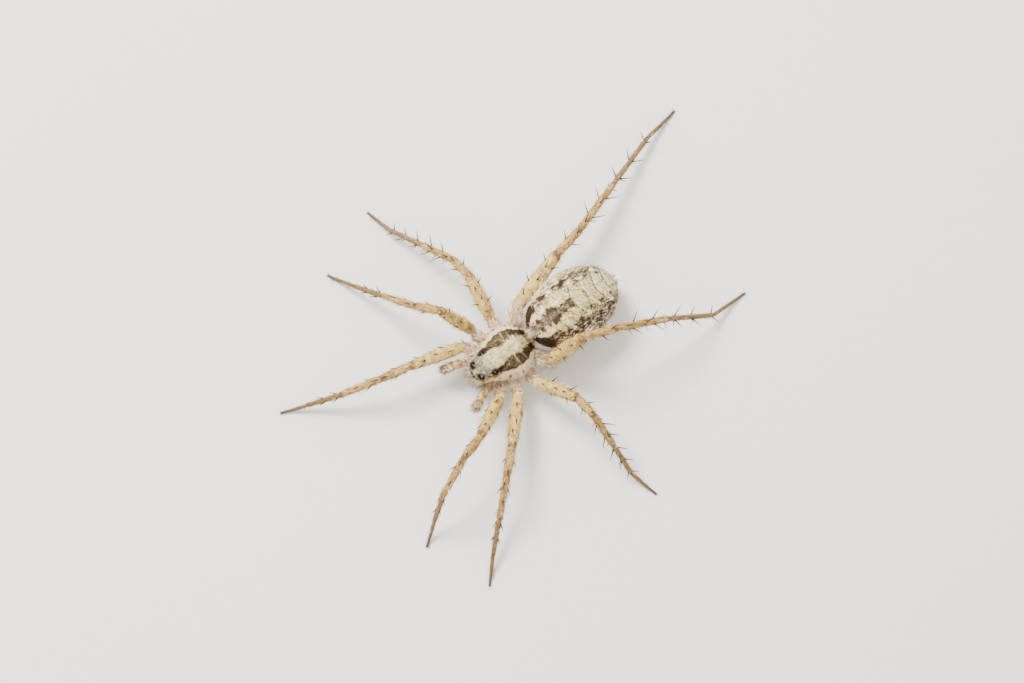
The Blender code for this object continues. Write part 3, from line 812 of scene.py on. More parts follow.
def abdomenColours(places, onHair):
    marks = abdomenMarks
    x, y, z = places.T
    side = np.abs(x)
    upper = fade(1.75, 2.1, z)
    front = fade(1.35, 1.7, z)
    lower = fade(1.25, 0.95, z)
    flat = places * (1, 0.5, 1)  # grain drawn out along the body
    grain = mottle(flat, 0.055, 1)
    grit = mottle(flat, 0.085, 6)
    cloud = mottle(places, 0.40, 12)
    sideways = fade(0.75, 1.15, side + 0.1 * cloud)
    # painted shade and painted light: towards +x, away from the key lamp, the abdomen turns duskier and
    # browner, and its far -x flank, which faces the lamp, turns paler
    darker = 0.22 * fade(-0.2, 0.2, x) - 0.10 - 0.09 * fade(-1.0, -1.25, x)

    colours, lay = groundColour("margin", len(places), onHair)
    lay("dusty", 0.45 + 2.0 * darker)
    lay("white", 0.9 * fade(0.0, 0.18, grain))
    streaks = mottle(places * (1, 0.35, 1), 0.07, 40)
    lay("brown", 0.80 * fade(0.03, 0.16, streaks + 0.2 * cloud + darker - 0.04))
    umberDots = fade(0.16, 0.28, grit + 0.15 * cloud + 0.5 * darker)
    lay("umber", 0.85 * umberDots * (1 - lower))
    skirt = fade(1.9, 1.5, z)  # the paler lower sides
    lay("margin", 0.35 * skirt * (grit < 0.2))

    creamy = upper * (1 - sideways) * fade(0.08, 0.16, y)
    yellow = fade(-0.35, 0.25, cloud + 0.8 * within(1.3, 2.3, y, 0.3) + 0.5 * (y > 2.5) - 0.45)
    pale, layPale = groundColour("cream", len(places), onHair)
    layPale("yellowCream", 0.35 + 0.65 * yellow)
    whiter = 0.2 * fade(1.3, 0.5, y) + 0.08 * fade(2.9, 3.3, y)
    layPale("white", 0.8 * fade(0.05, 0.3, grain - 0.3 * cloud + whiter))
    dots = mottle(places, 0.055, 41)
    rearward = fade(1.2, 2.0, y) - 0.15 * fade(2.4, 3.2, y)
    specks = fade(0.08, 0.18, dots + 0.08 * rearward + 0.12 * fade(0.45, 0.8, side) - 0.02)
    layPale("brown", 0.80 * specks)
    colours += (pale - colours) * (0.94 * creamy)[:, None]

    arch = y - marks["archBow"] * x ** 2 + 0.05 * cloud + 0.02 * mottle(places, 0.15, 18)
    fan = fade(1.00, 0.60, side + 0.20 * cloud) * fade(1.9, 2.2, z)
    ripple = np.sin(arch * 2 * math.pi / 0.13 + 1.5 * cloud) * fade(2.3, 2.6, y) * fan
    lay("white", 0.30 * fade(0.1, 0.8, -ripple))
    lay("brown", 0.36 * fade(0.1, 0.8, ripple) * fade(0.15, -0.05, dots))
    outerMix = fade(0.35, 0.65, side + 0.2 * cloud) * fade(2.2, 2.5, y) * upper
    outerMix *= 1 - 0.5 * fade(1.0, 1.2, side)
    lay("brown", 0.85 * outerMix * fade(0.0, 0.12, dots + 0.2 * cloud + 0.3 * darker))
    lay("umber", 0.60 * outerMix * fade(0.14, 0.24, grit + 0.2 * cloud + 0.3 * darker))
    for crossing in marks["arches"]:
        line = fade(0.05, 0.02, np.abs(arch - crossing + 0.03)) * fan
        lay("brown", 0.90 * line * fade(-0.20, 0.0, grit + 0.1))
        glow = within(crossing + 0.03, crossing + 0.13, arch, 0.04) * fan
        lay("white", 0.80 * glow * fade(-0.08, 0.08, grain + 0.1 * cloud + 0.05))

    bandAway = np.abs(side - onTable(marks["bandMiddle"], y) - 0.07 * mottle(places, 0.3, 5))
    bandHalf = onTable(marks["bandHalf"], y) * (1 + 0.5 * mottle(places, 0.2, 15))
    band = fade(bandHalf + 0.05, bandHalf - 0.03, bandAway) * front * fade(0.45, 0.65, y)
    # painted light and painted shade: the lateral band fades out on the far -x flank, which faces the key
    # lamp, and its dark blotches grow towards +x, away from the lamp
    band *= 1 - 0.7 * fade(-1.02, -1.20, x)
    bandShade = 0.12 + 0.04 * fade(-0.2, 0.2, x)
    broken = fade(0.02, 0.16, streaks + 0.4 * grit + 0.12 * cloud + 0.4 * bandShade)
    band *= 1 - 0.5 * fade(2.5, 3.0, y)
    lay("brown", 0.85 * band * fade(-0.14, 0.04, streaks + 0.12 * cloud + bandShade))
    lay("umber", 0.85 * band * broken)
    shoulderAway = np.abs(side - onTable(marks["shoulderMiddle"], y)) + 0.05 * mottle(places, 0.12, 17)
    shoulder = fade(0.03, -0.03, shoulderAway - onTable(marks["shoulderHalf"], y))
    shoulder *= fade(0.85, 0.65, y + 0.15 * mottle(places, 0.1, 19))
    lay("umber", shoulder * front)
    lay("brown", 0.5 * shoulder * front * fade(0.2, 0.4, grit))
    faded = fade(2.0, 1.5, z) * shoulder * fade(-0.15, 0.1, grit + 0.5 * cloud)
    lay("dusty", 0.8 * faded)

    stripeEdge = onTable(marks["stripe"], y) + 0.02 + 0.05 * mottle(places, 0.12, 8)
    stripe = fade(stripeEdge + 0.02, stripeEdge - 0.02, side) * upper * within(0.30, 2.26, y, 0.06)
    lay("heart", stripe)
    lay("brown", 0.75 * stripe * fade(-0.05, 0.12, -grain))
    stripeRim = stripe * fade(stripeEdge - 0.07, stripeEdge - 0.02, side) * fade(-0.1, 0.1, grit)
    lay("umber", 0.7 * stripeRim * (y > 0.4))
    lay("white", 0.35 * stripe * fade(0.26, 0.36, dots + 0.06 * (y < 1)))
    tip = fade(0.20, 0.15, side) * within(2.05, 2.34, y, 0.04) * upper
    lay("brown", 0.8 * tip)
    lay("white", 0.8 * spots(places, marks["whiteSpots"]) * upper)
    lay("umber", 0.95 * spots(places, marks["stripeSpots"]) * front)
    lay("umber", 0.85 * spots(places, marks["sideSpots"]) * front)
    tuft = fade(0.20, 0.12, side) * fade(0.42, 0.28, y) * front
    lay("margin", tuft)
    lay("white", tuft * fade(-0.1, 0.1, grain))
    lay("blush", 0.5 * tuft * (grain < -0.05))

    lay("belly", lower)
    lungs = fade(1.05, 0.9, np.hypot((side - 0.55) / 0.30, (y - 1.02) / 0.34)) * lower
    lay("amber", 0.35 * lungs)
    lay("brown", 0.5 * lower * fade(0.30, 0.42, grit))
    return colours


legMarks = {  # by stretches, which go from 0 to 6 along a leg and from 7 on along a feeler
    "stretch": ((0.0, "blush"), (0.80, "blush"), (1.10, "straw"), (1.9, "straw"), (2.10, "tan"),
                (3.0, "tan"), (3.85, "tan"), (4.15, "smoke"), (5.2, "smoke"), (5.95, "ash"),
                (6.9, "blush"), (7.3, "blush"), (7.5, "straw"), (7.7, "margin"), (8.0, "blush")),
    "jointDots": ((1.98, 0.10), (2.97, 0.10), (3.98, 0.06), (4.98, 0.06), (7.42, 0.03), (7.56, 0.03),
                  (7.73, 0.03)),
}


def legColours(places, ways, stretches, upward, onHair):
    knots = [stretch for stretch, _ in legMarks["stretch"]]
    tones = np.array([tint(name, onHair) for _, name in legMarks["stretch"]])
    colours = np.stack([np.interp(stretches, knots, channel) for channel in tones.T], 1)
    lay = brushFor(colours, onHair)
    along = (places * ways).sum(1)[:, None]
    streaked = places - 0.90 * along * ways  # grain drawn out along the leg
    grain = mottle(streaked, 0.052, 21)
    grit = mottle(places, 0.075, 25)
    cloud = mottle(places, 0.40, 28)
    lay("cream", 0.45 * fade(0.12, 0.40, grain) * (stretches < 4))
    lay("brown", 0.55 * fade(0.08, 0.26, -grain + 0.1 * cloud))
    speckle = fade(0.36, 0.50, grit + 0.12 * cloud) * fade(0.9, 1.2, stretches)
    lay("brown", 0.60 * speckle)
    for place, reach in legMarks["jointDots"]:
        collar = fade(reach, 0.4 * reach, np.abs(stretches - place))
        lay("brown", 0.90 * collar * fade(-0.30, -0.05, grit))
        lay("rust", 0.35 * collar * fade(0.1, 0.3, grit))
    membrane = fade(0.05, 0.02, np.abs(stretches - 0.77))
    membrane = np.maximum(membrane, fade(0.04, 0.015, np.abs(stretches - 0.94)))
    lay("rust", 0.75 * membrane * fade(-0.3, 0.0, grit))
    lay("blush", 0.45 * within(0.82, 0.90, stretches, 0.03))
    lining = fade(0.05, 0.02, np.abs(stretches - 1.00)) * fade(-0.3, 0.0, grain)
    lay("white", 0.6 * lining)
    below = fade(0.1, -0.7, upward)
    lay("belly", 0.4 * below * (stretches < 4))
    return colours


def underColours(places, onHair):
    colours, lay = groundColour("blush", len(places), onHair)
    lay("white", 0.7 * fade(0.0, 0.3, mottle(places, 0.12, 37)))
    lay("belly", fade(0.0, 0.5, mottle(places, 0.3, 31)))
    waist = fade(0.45, 0.15, np.abs(places[:, 1])) * fade(1.3, 1.5, places[:, 2])
    lay("tan", waist * (places[:, 1] < 2))
    lay("brown", 0.5 * fade(0.42, 0.55, mottle(places, 0.08, 33)))
    return colours


def faceColours(places, onHair):
    grit = mottle(places, 0.09, 35)
    colours, lay = groundColour("blush", len(places), onHair)
    lay("brown", 0.6 * fade(1.75, 1.2, places[:, 2]))
    lay("dusty", 0.8 * fade(0.0, 0.2, grit))
    lay("white", 0.4 * fade(0.1, 0.4, -grit))
    return colours


regionPainters = {  # in the order of the skin's materials
    "abdomen": abdomenColours,
    "carapace": carapaceColours,
    "under": underColours,
    "face": faceColours,
    "leg": legColours,
}


def skinColours(spread, places, onHair):
    # spread holds the lie, region, stretch and normal that belong to each place
    colours = np.zeros((len(places), 3))
    for index, region in enumerate(regionPainters):
        at = spread["regions"] == index
        if region == "leg" and at.any():
            lies, stretches, upward = spread["lies"][at], spread["stretches"][at], spread["normals"][at, 2]
            colours[at] = legColours(places[at], lies, stretches, upward, onHair)
        elif at.any():
            colours[at] = regionPainters[region](places[at], onHair)
    return np.clip(colours, 0, 1)


def nodesOf(name):
    material = bpy.data.materials.new(name)
    material.use_nodes = True
    tree = material.node_tree
    return material, tree, tree.nodes["Principled BSDF"]


def feed(node, sockets):
    # each socket takes a fixed value, or an output of another node
    for name, source in sockets.items():
        if isinstance(source, bpy.types.NodeSocket):
            node.id_data.links.new(source, node.inputs[name])
        else:
            node.inputs[name].default_value = source


def addNode(tree, kind, sockets, **settings):
    node = tree.nodes.new(kind)
    for key, value in settings.items():
        setattr(node, key, value)
    feed(node, sockets)
    return node.outputs


def buildGrainGroup():
    # fine uneven colour and a height for the bump, at one scale of grain
    group = bpy.data.node_groups.new("cuticleGrain", "ShaderNodeTree")
    for name, kind, way in (
        ("Colour", "NodeSocketColor", "INPUT"), ("Scale", "NodeSocketFloat", "INPUT"),
        ("Amount", "NodeSocketFloat", "INPUT"), ("Colour", "NodeSocketColor", "OUTPUT"),
        ("Height", "NodeSocketFloat", "OUTPUT"),
    ):
        group.interface.new_socket(name=name, in_out=way, socket_type=kind)
    given, result = group.nodes.new("NodeGroupInput").outputs, group.nodes.new("NodeGroupOutput")
    place = addNode(group, "ShaderNodeTexCoord", {})["Object"]
    cloud = {"Vector": place, "Scale": given["Scale"], "Detail": 6, "Roughness": 0.65}
    fine = addNode(group, "ShaderNodeTexNoise", cloud)["Fac"]
    cells = addNode(group, "ShaderNodeTexVoronoi", {"Vector": place, "Scale": given["Scale"]})["Distance"]
    spread = {"Value": fine, "From Min": 0.3, "From Max": 0.7, "To Min": -1, "To Max": 1}
    shade = addNode(group, "ShaderNodeMapRange", spread)["Result"]
    swing = addNode(group, "ShaderNodeMath", {0: shade, 1: given["Amount"], 2: 1}, operation="MULTIPLY_ADD")
    scaled = {0: given["Colour"], "Scale": swing["Value"]}
    tinted = addNode(group, "ShaderNodeVectorMath", scaled, operation="SCALE")
    height = addNode(group, "ShaderNodeMath", {0: cells, 1: 0.6, 2: fine}, operation="MULTIPLY_ADD")
    feed(result, {"Colour": tinted["Vector"], "Height": height["Value"]})
    return group


grainGroup = buildGrainGroup()


def addFinish(name, attribute, scale, amount, roughness, bump=0.0, coat=0.0, specular=0.5):
    # colour from the piece's own attribute, broken up by grain
    material, tree, shader = nodesOf(name)
    source = addNode(tree, "ShaderNodeAttribute", {}, attribute_name=attribute)["Color"]
    settings = {"Colour": source, "Scale": scale, "Amount": amount}
    grain = addNode(tree, "ShaderNodeGroup", settings, node_tree=grainGroup)
    if bump:
        relief = {"Strength": 1.0, "Distance": bump * mm, "Height": grain["Height"]}
        feed(shader, {"Normal": addNode(tree, "ShaderNodeBump", relief)["Normal"]})
    feed(shader, {
        "Base Color": grain["Colour"], "Roughness": roughness, "Specular IOR Level": specular,
        "Coat Weight": coat, "Coat Roughness": 0.3,
    })
    return material


def cloudColour(tree, scale, colours, positions=(0.0, 1.0)):
    # soft clouds between two colours, and the cloud's own value
    place = addNode(tree, "ShaderNodeTexCoord", {})["Object"]
    cloud = addNode(tree, "ShaderNodeTexNoise", {"Vector": place, "Scale": scale})["Fac"]
    ramp = tree.nodes.new("ShaderNodeValToRGB")
    for element, position, colour in zip(ramp.color_ramp.elements, positions, colours):
        element.position = position
        element.color = (*colour, 1)
    feed(ramp, {"Fac": cloud})
    return ramp.outputs["Color"], cloud


def addDarkFinish(name, deep, pale, scale, roughness, coat, specular=0.5):
    # dark glossy horn: spines, fangs, claws and the lenses of the eyes
    material, tree, shader = nodesOf(name)
    colour, cloud = cloudColour(tree, scale, (linear(deep), linear(pale)), (0.35, 0.75))
    gloss = {"Value": cloud, "To Min": roughness, "To Max": roughness * 1.6}
    feed(shader, {
        "Base Color": colour, "Roughness": addNode(tree, "ShaderNodeMapRange", gloss)["Result"],
        "Specular IOR Level": specular, "Coat Weight": coat, "Coat Roughness": 0.05,
    })
    return material


skinPlan = {  # finish, grain in cells for each metre, roughness, bump, gloss coat, specular
    "abdomen": ("abdomenSkin", 26000, 0.6, 0.012, 0.0, 0.2),
    "carapace": ("carapaceSkin", 22000, 0.5, 0.008, 0.04, 0.25),
    "under": ("underSkin", 24000, 0.5, 0.010, 0.0, 0.25),
    "face": ("jawSkin", 24000, 0.45, 0.008, 0.0, 0.25),
    "leg": ("legSkin", 26000, 0.45, 0.010, 0.0, 0.3),
}
skinFinishes = {
    kind: addFinish(name, "skinColour", scale, 0.14, roughness, bump, coat, specular)
    for kind, (name, scale, roughness, bump, coat, specular) in skinPlan.items()
}
coatFinish = addFinish("coatHair", "coatColour", 30000, 0.06, 0.6, specular=0.12)
eyeFinish = addDarkFinish("eyeLens", (4, 2, 2), (16, 8, 5), 9000, 0.05, 0.0, 0.13)
hornFinish = addDarkFinish("darkHorn", (14, 9, 6), (46, 28, 18), 14000, 0.34, 0.1, 0.3)
fangFinish = addDarkFinish("fangHorn", (24, 8, 4), (96, 38, 18), 12000, 0.2, 0.6)

print("skin: shells and limbs")
skin = joinSkin(addSkinShells(), skinFinishes)


def readSkin(skin):
    # all that the coat needs to know about the skin, point by point and triangle by triangle
    mesh = skin.data
    places, normals = readPoints(skin), readNormals(skin)
    faceRegions = np.empty(len(mesh.polygons), int)
    mesh.polygons.foreach_get("material_index", faceRegions)
    mesh.calc_loop_triangles()
    count = len(mesh.loop_triangles)
    corners, loops = np.empty(count * 3, int), np.empty(count * 3, int)
    polygons, areas = np.empty(count, int), np.empty(count)
    mesh.loop_triangles.foreach_get("vertices", corners)
    mesh.loop_triangles.foreach_get("loops", loops)
    mesh.loop_triangles.foreach_get("polygon_index", polygons)
    mesh.loop_triangles.foreach_get("area", areas)
    corners, loops = corners.reshape(-1, 3), loops.reshape(-1, 3)
    triangleRegions = faceRegions[polygons]
    regions = np.zeros(len(places), int)
    for index in range(len(regionPainters)):
        regions[corners[triangleRegions == index]] = index
    uvs = np.empty(len(mesh.loops) * 2)
    mesh.uv_layers["OFBake"].data.foreach_get("uv", uvs)
    return {
        "places": places, "normals": normals, "regions": regions, "corners": corners, "areas": areas,
        "triangleRegions": triangleRegions, "uvs": uvs.reshape(-1, 2)[loops],
    }


def unwrapSkin(skin):
    while skin.data.uv_layers:
        skin.data.uv_layers.remove(skin.data.uv_layers[0])
    skin.data.uv_layers.new(name="OFBake")
    editAll(skin, lambda: bpy.ops.uv.smart_project(angle_limit=math.radians(66), island_margin=0.002))


def limbFrames():
    # for every skin point the nearest limb's direction, stretch and number
    count = sum(len(middle) for _, middle, _ in limbPaths)
    tree = kdtree.KDTree(count)
    tangents, stretches, limbs = [], [], []
    for number, (_, middle, stretch) in enumerate(limbPaths):
        tangent = unit(np.gradient(middle, axis=0))
        for place, way, along in zip(middle, tangent, stretch):
            tree.insert(Vector(place), len(tangents))
            tangents.append(way)
            stretches.append(along)
            limbs.append(number)
    tree.balance()
    nearest = np.array([tree.find(Vector(place))[1] for place in skinMap["places"]])
    return np.array(tangents)[nearest], np.array(stretches)[nearest], np.array(limbs)[nearest]


def coatLie():
    # which way the coat lies at every skin point
    places, normals, regions = skinMap["places"], skinMap["normals"], skinMap["regions"]
    lie = skinMap["tangents"].copy()
    fromFovea = places - np.array((0, carapacePlan["foveaY"], 2.3))
    forward = np.tile((0.0, -1.0, 0.0), (len(places), 1))
    headShare = fade(-1.7, -2.5, places[:, 1])[:, None]
    carapaceWay = unit(fromFovea) * (1 - headShare) + forward * headShare
    abdomenWay = np.tile((0.0, 1.0, 0.0), (len(places), 1))
    abdomenWay[:, 0] = 0.25 * np.sign(places[:, 0]) * fade(3.6, 2.0, places[:, 1])
    abdomenWay[:, 2] = -0.25 * fade(2.0, 1.2, places[:, 2])
    faceWay = np.tile((0.0, -0.5, -1.0), (len(places), 1))
    underWay = unit(places - np.array((0, -1.4, 1.4)))
    for index, way in enumerate((abdomenWay, carapaceWay, underWay, faceWay)):
        lie[regions == index] = way[regions == index]
    return alongSurface(lie, normals)


unwrapSkin(skin)
skinMap = readSkin(skin)
skinMap["tangents"], skinMap["stretches"], skinMap["limbs"] = limbFrames()
skinMap["lies"] = coatLie()
writeColours(skin.data, "skinColour", skinColours(skinMap, skinMap["places"], False))
print("skin:", len(skin.data.vertices), "points, painted")


def meshFromTriangles(name, places, triangles, colours=None, uvs=None):
    # one joined mesh from arrays: points, triangles, a colour for each point, a UV for each corner
    mesh = bpy.data.meshes.new(name)
    mesh.vertices.add(len(places))
    mesh.vertices.foreach_set("co", places.ravel())
    mesh.loops.add(triangles.size)
    mesh.loops.foreach_set("vertex_index", triangles.ravel())
    mesh.polygons.add(len(triangles))
    mesh.polygons.foreach_set("loop_start", np.arange(len(triangles)) * 3)
    mesh.update(calc_edges=True)
    mesh.shade_smooth()
    if colours is not None:
        writeColours(mesh, "coatColour", colours)
    if uvs is not None:
        mesh.uv_layers.new(name="OFBake").data.foreach_set("uv", uvs.ravel())
    piece = bpy.data.objects.new(name, mesh)
    bpy.context.scene.collection.objects.link(piece)
    return piece


def hairTriangles(rings):
    # one hair: a closed foot, three-sided rings and a tip; its last point is the tip
    faces = [(0, 2, 1)]
    for ring in range(rings - 1):
        for side in range(3):
            a, b = 3 * ring + side, 3 * ring + (side + 1) % 3
            faces += [(a, b, b + 3), (a, b + 3, a + 3)]
    last = 3 * (rings - 1)
    faces += [(last + side, last + (side + 1) % 3, last + 3) for side in range(3)]
    return np.array(faces)


coatPlan = {
    "patch": 0.0015,  # half the size of a lock's patch on its OFBake map
    "sink": 0.02,  # how deep a hair's foot stands in the skin
    "floorGap": 0.004,
    "eyeClearance": 1.15,
    "gather": 0.7,  # how far the tips of a lock come together
    "taper": 0.55,
    "hairTone": 0.05,  # how far the hairs of a lock differ
}

usualCoat = {  # what each piece of the coat has where its own row says nothing else
    "hairs": 5,  # of one lock
    "width": 0.018,
    "spacing": 0.018,
    "lift": 14,  # mean angle off the skin
    "spread": 12,  # scatter of the lift and of the way a lock lies
    "rings": 1,
    "bend": 25,  # how far a hair leans over towards its tip
    "reach": 0.5,  # the place along its length where a lock takes its colour
    "strays": 0.10,
    "toneSpread": 0.15,
}
coatPieces = {
    "coat_carapace": dict(slot="carapace", locks=12400, length=(0.08, 0.15), hairs=3, spacing=0.013),
    "coat_carapace_band": dict(slot="carapace", locks=3800, length=(0.09, 0.21), hairs=4, width=0.020,
                               spacing=0.014, lift=11, spread=13, rings=2, reach=0.2, strays=0.16),
    "coat_abdomen": dict(slot="abdomen", locks=16000, length=(0.06, 0.12), hairs=3, spacing=0.012, lift=13,
                         spread=14, strays=0.06),
    "coat_belly": dict(slot="abdomen", locks=2800, length=(0.12, 0.22), width=0.020, spacing=0.022,
                       spread=14),
    "coat_waist": dict(slot="abdomen", locks=700, length=(0.14, 0.26), hairs=4, width=0.016, spacing=0.014,
                       lift=26, spread=16, rings=2, reach=0, strays=0.05),
    "coat_legs_upper": dict(slot="leg", locks=12200, length=(0.12, 0.22), hairs=3, width=0.015, spacing=0.012,
                            lift=11, spread=7, strays=0.05, toneSpread=0.26),
    "coat_legs_lower": dict(slot="leg", locks=12000, length=(0.12, 0.22), hairs=3, width=0.014, spacing=0.012,
                            lift=11, spread=7, strays=0.05, toneSpread=0.26),
    "coat_under": dict(slot="underside", locks=3400, length=(0.16, 0.34), width=0.015, spacing=0.022, lift=30,
                       spread=22, rings=2, reach=0.3, strays=0.2),
    "coat_jaws": dict(slot="leg", locks=1200, length=(0.12, 0.24), width=0.014, lift=28, spread=16, rings=2,
                      reach=0.3, strays=0.2),
    "coat_long": dict(slot="leg", locks=5600, length=(0.20, 0.36), hairs=2, width=0.010, spacing=0.03,
                      lift=46, rings=2, bend=35, reach=0.1, strays=0.3),
    "coat_bristles": dict(slot="leg", locks=620, length=(0.18, 0.42), hairs=1, width=0.011, spacing=0.01,
                          lift=52, spread=18, rings=2, bend=20),
}


def scatter(weights, count, dice):
    # roots of locks spread over the skin by area and weight
    chance = skinMap["areas"] * weights
    chosen = dice.choice(len(chance), count, p=chance / chance.sum())
    a, b = dice.random((2, count))
    over = a + b > 1
    a[over], b[over] = 1 - a[over], 1 - b[over]
    shares = np.stack((1 - a - b, a, b), 1)
    corners = skinMap["corners"][chosen]
    weighed = shares[..., None]
    roots = {key: (skinMap[key][corners] * weighed).sum(1) for key in ("places", "normals", "lies")}
    roots["stretches"] = (skinMap["stretches"][corners] * shares).sum(1)
    roots["uvs"] = (skinMap["uvs"][chosen] * weighed).sum(1)
    roots["regions"] = skinMap["triangleRegions"][chosen]
    clear = np.ones(count, bool)
    for _, radius, centre, _ in eyeCentres():
        clear &= np.linalg.norm(roots["places"] - centre, axis=1) > coatPlan["eyeClearance"] * radius
    roots = {key: value[clear] for key, value in roots.items()}
    roots["normals"] = unit(roots["normals"])
    roots["lies"] = alongSurface(roots["lies"], roots["normals"])
    return roots


def lockColours(roots, lengths, plan, dice):
    # a lock takes the marking under one place of it; a few locks are strays of another tone
    places = roots["places"] + roots["lies"] * (plan["reach"] * lengths)[:, None]
    colours = skinColours(roots, places, True)
    draw = dice.random(len(colours))
    dark = colours.mean(1) < linear(110)
    colours[(draw < plan["strays"]) & ~dark] = tint("white", True)
    fades = draw > 1 - 0.7 * plan["strays"]
    colours[fades] = 0.4 * colours[fades] + 0.6 * tint("brown", True)
    tone = 1 + dice.normal(0, plan["toneSpread"], len(colours))
    warmth = dice.normal(0, 0.04, len(colours))
    cast = np.stack((tone * (1 + 0.3 * warmth), tone, tone * (1 - warmth)), 1)
    return np.clip(colours * cast, 0.001, 0.96)


def paleShades(roots, lengths, plan, dice):
    # lighter and darker locks side by side
    shades = lockColours(roots, lengths, plan, dice) * dice.choice((0.70, 1.02, 1.18), (len(lengths), 1))
    return np.minimum(shades, 0.96)


def darkShades(roots, lengths, plan, dice):
    return tint("brown", True) * dice.uniform(0.4, 2.4, (len(lengths), 1))


def growCoat(name, roots, lengths, colours, plan, dice):
    # turns every lock into its hairs, and all of them into one joined mesh
    hairs, rings, spread = plan["hairs"], plan["rings"], plan["spread"]
    locks = len(lengths)
    count = locks * hairs
    normals, lies = roots["normals"], roots["lies"]
    sides = np.cross(lies, normals)
    turns = np.radians(dice.normal(0, spread, locks))[:, None]
    lies, sides = lies * np.cos(turns) + sides * np.sin(turns), sides * np.cos(turns) - lies * np.sin(turns)
    lifts = np.clip(dice.normal(plan["lift"], 0.4 * spread, locks), 4, 88)
    normals, lies, sides = (np.repeat(value, hairs, 0) for value in (normals, lies, sides))
    lengths = np.repeat(lengths, hairs) * dice.uniform(0.75, 1.1, count)
    lifts = np.radians(np.repeat(lifts, hairs) + dice.normal(0, 4, count))
    along, across = dice.normal(0, plan["spacing"], (2, count))
    feet = np.repeat(roots["places"], hairs, 0) + lies * along[:, None] * 1.5 + sides * across[:, None]
    lean = np.clip(-coatPlan["gather"] * across / lengths, -0.5, 0.5)[:, None]
    lies, sides = unit(lies + sides * lean), unit(sides - lies * lean)
    tones = 1 + dice.normal(0, coatPlan["hairTone"], count)
    colours = np.repeat(colours, hairs, 0) * tones[:, None]

    centre = feet - normals * coatPlan["sink"]
    step = (lengths + coatPlan["sink"]) / rings
    around = np.radians((90, 210, 330))
    sections = []
    for ring in range(rings):
        angle = (lifts - np.radians(plan["bend"]) * (ring / rings))[:, None]
        way = lies * np.cos(angle) + normals * np.sin(angle)
        up = normals * np.cos(angle) - lies * np.sin(angle)
        radius = 0.5 * plan["width"] * (1 - coatPlan["taper"] * ring / rings)
        radius = radius * (0.8 + 0.4 * dice.random(count))[:, None]
        section = [centre + radius * (sides * math.cos(turn) + up * math.sin(turn)) for turn in around]
        sections.append(np.stack(section, 1))
        centre = centre + way * step[:, None]
    places = np.concatenate((*sections, centre[:, None]), 1)
    places[..., 2] = np.maximum(places[..., 2], coatPlan["floorGap"])
    points = places.shape[1]
    triangles = (np.arange(count)[:, None, None] * points + hairTriangles(rings)).reshape(-1, 3)
    corner = np.stack((np.cos(around), np.sin(around)), 1)
    pattern = [corner * (1 - 0.4 * (ring > 0)) for ring in range(rings)] + [np.zeros((1, 2))]
    uvs = np.repeat(roots["uvs"], hairs, 0)[:, None] + coatPlan["patch"] * np.concatenate(pattern)
    uvs = uvs.reshape(-1, 2)[triangles.ravel()]
    piece = meshFromTriangles(name, places.reshape(-1, 3), triangles, np.repeat(colours, points, 0), uvs)
    piece.data.materials.append(coatFinish)
    finishPiece(piece)
    print("coat:", name, locks, "locks", len(triangles), "triangles")


def layCoat(name, weights, dice, resize=None, comb=None, shades=lockColours):
    # one piece of the coat; resize changes its lengths from place to place, and comb the way it lies
    plan = usualCoat | coatPieces[name]
    share = 1.0
    roots = scatter(weights, int(plan["locks"] * share), dice)
    if comb:
        roots["lies"] = comb(roots)
    lengths = dice.uniform(*plan["length"], len(roots["places"]))
    if resize:
        lengths = resize(lengths, roots["places"], roots["stretches"])
    growCoat(name, roots, lengths, shades(roots, lengths, plan, dice), plan, dice)


def onRegion(name):
    return (skinMap["triangleRegions"] == list(regionPainters).index(name)).astype(float)


triangleMiddles = skinMap["places"][skinMap["corners"]].mean(1)
triangleStretches = skinMap["stretches"][skinMap["corners"]].mean(1)
triangleUp = skinMap["normals"][skinMap["corners"]].mean(1)[:, 2]
palpNumbers = [number for number, (kind, _, _) in enumerate(limbPaths) if kind == "palp"]
palpShare = np.isin(skinMap["limbs"][skinMap["corners"][:, 0]], palpNumbers).astype(float)
palpTipShare = palpShare * (triangleStretches > 7.62)
# the legs' second joints are almost bare
bareShare = 1 - 0.85 * within(0.74, 0.97, triangleStretches, 0.03) * (1 - palpShare)


def combForward(roots):
    forward = np.array((0.0, -1.0, 0.35)) + roots["places"] * (0.5, 0, 0)
    return alongSurface(forward, roots["normals"])


def thinnerFeet(lengths, places, stretches):
    return lengths * np.clip(6.2 - stretches, 0.45, 1)


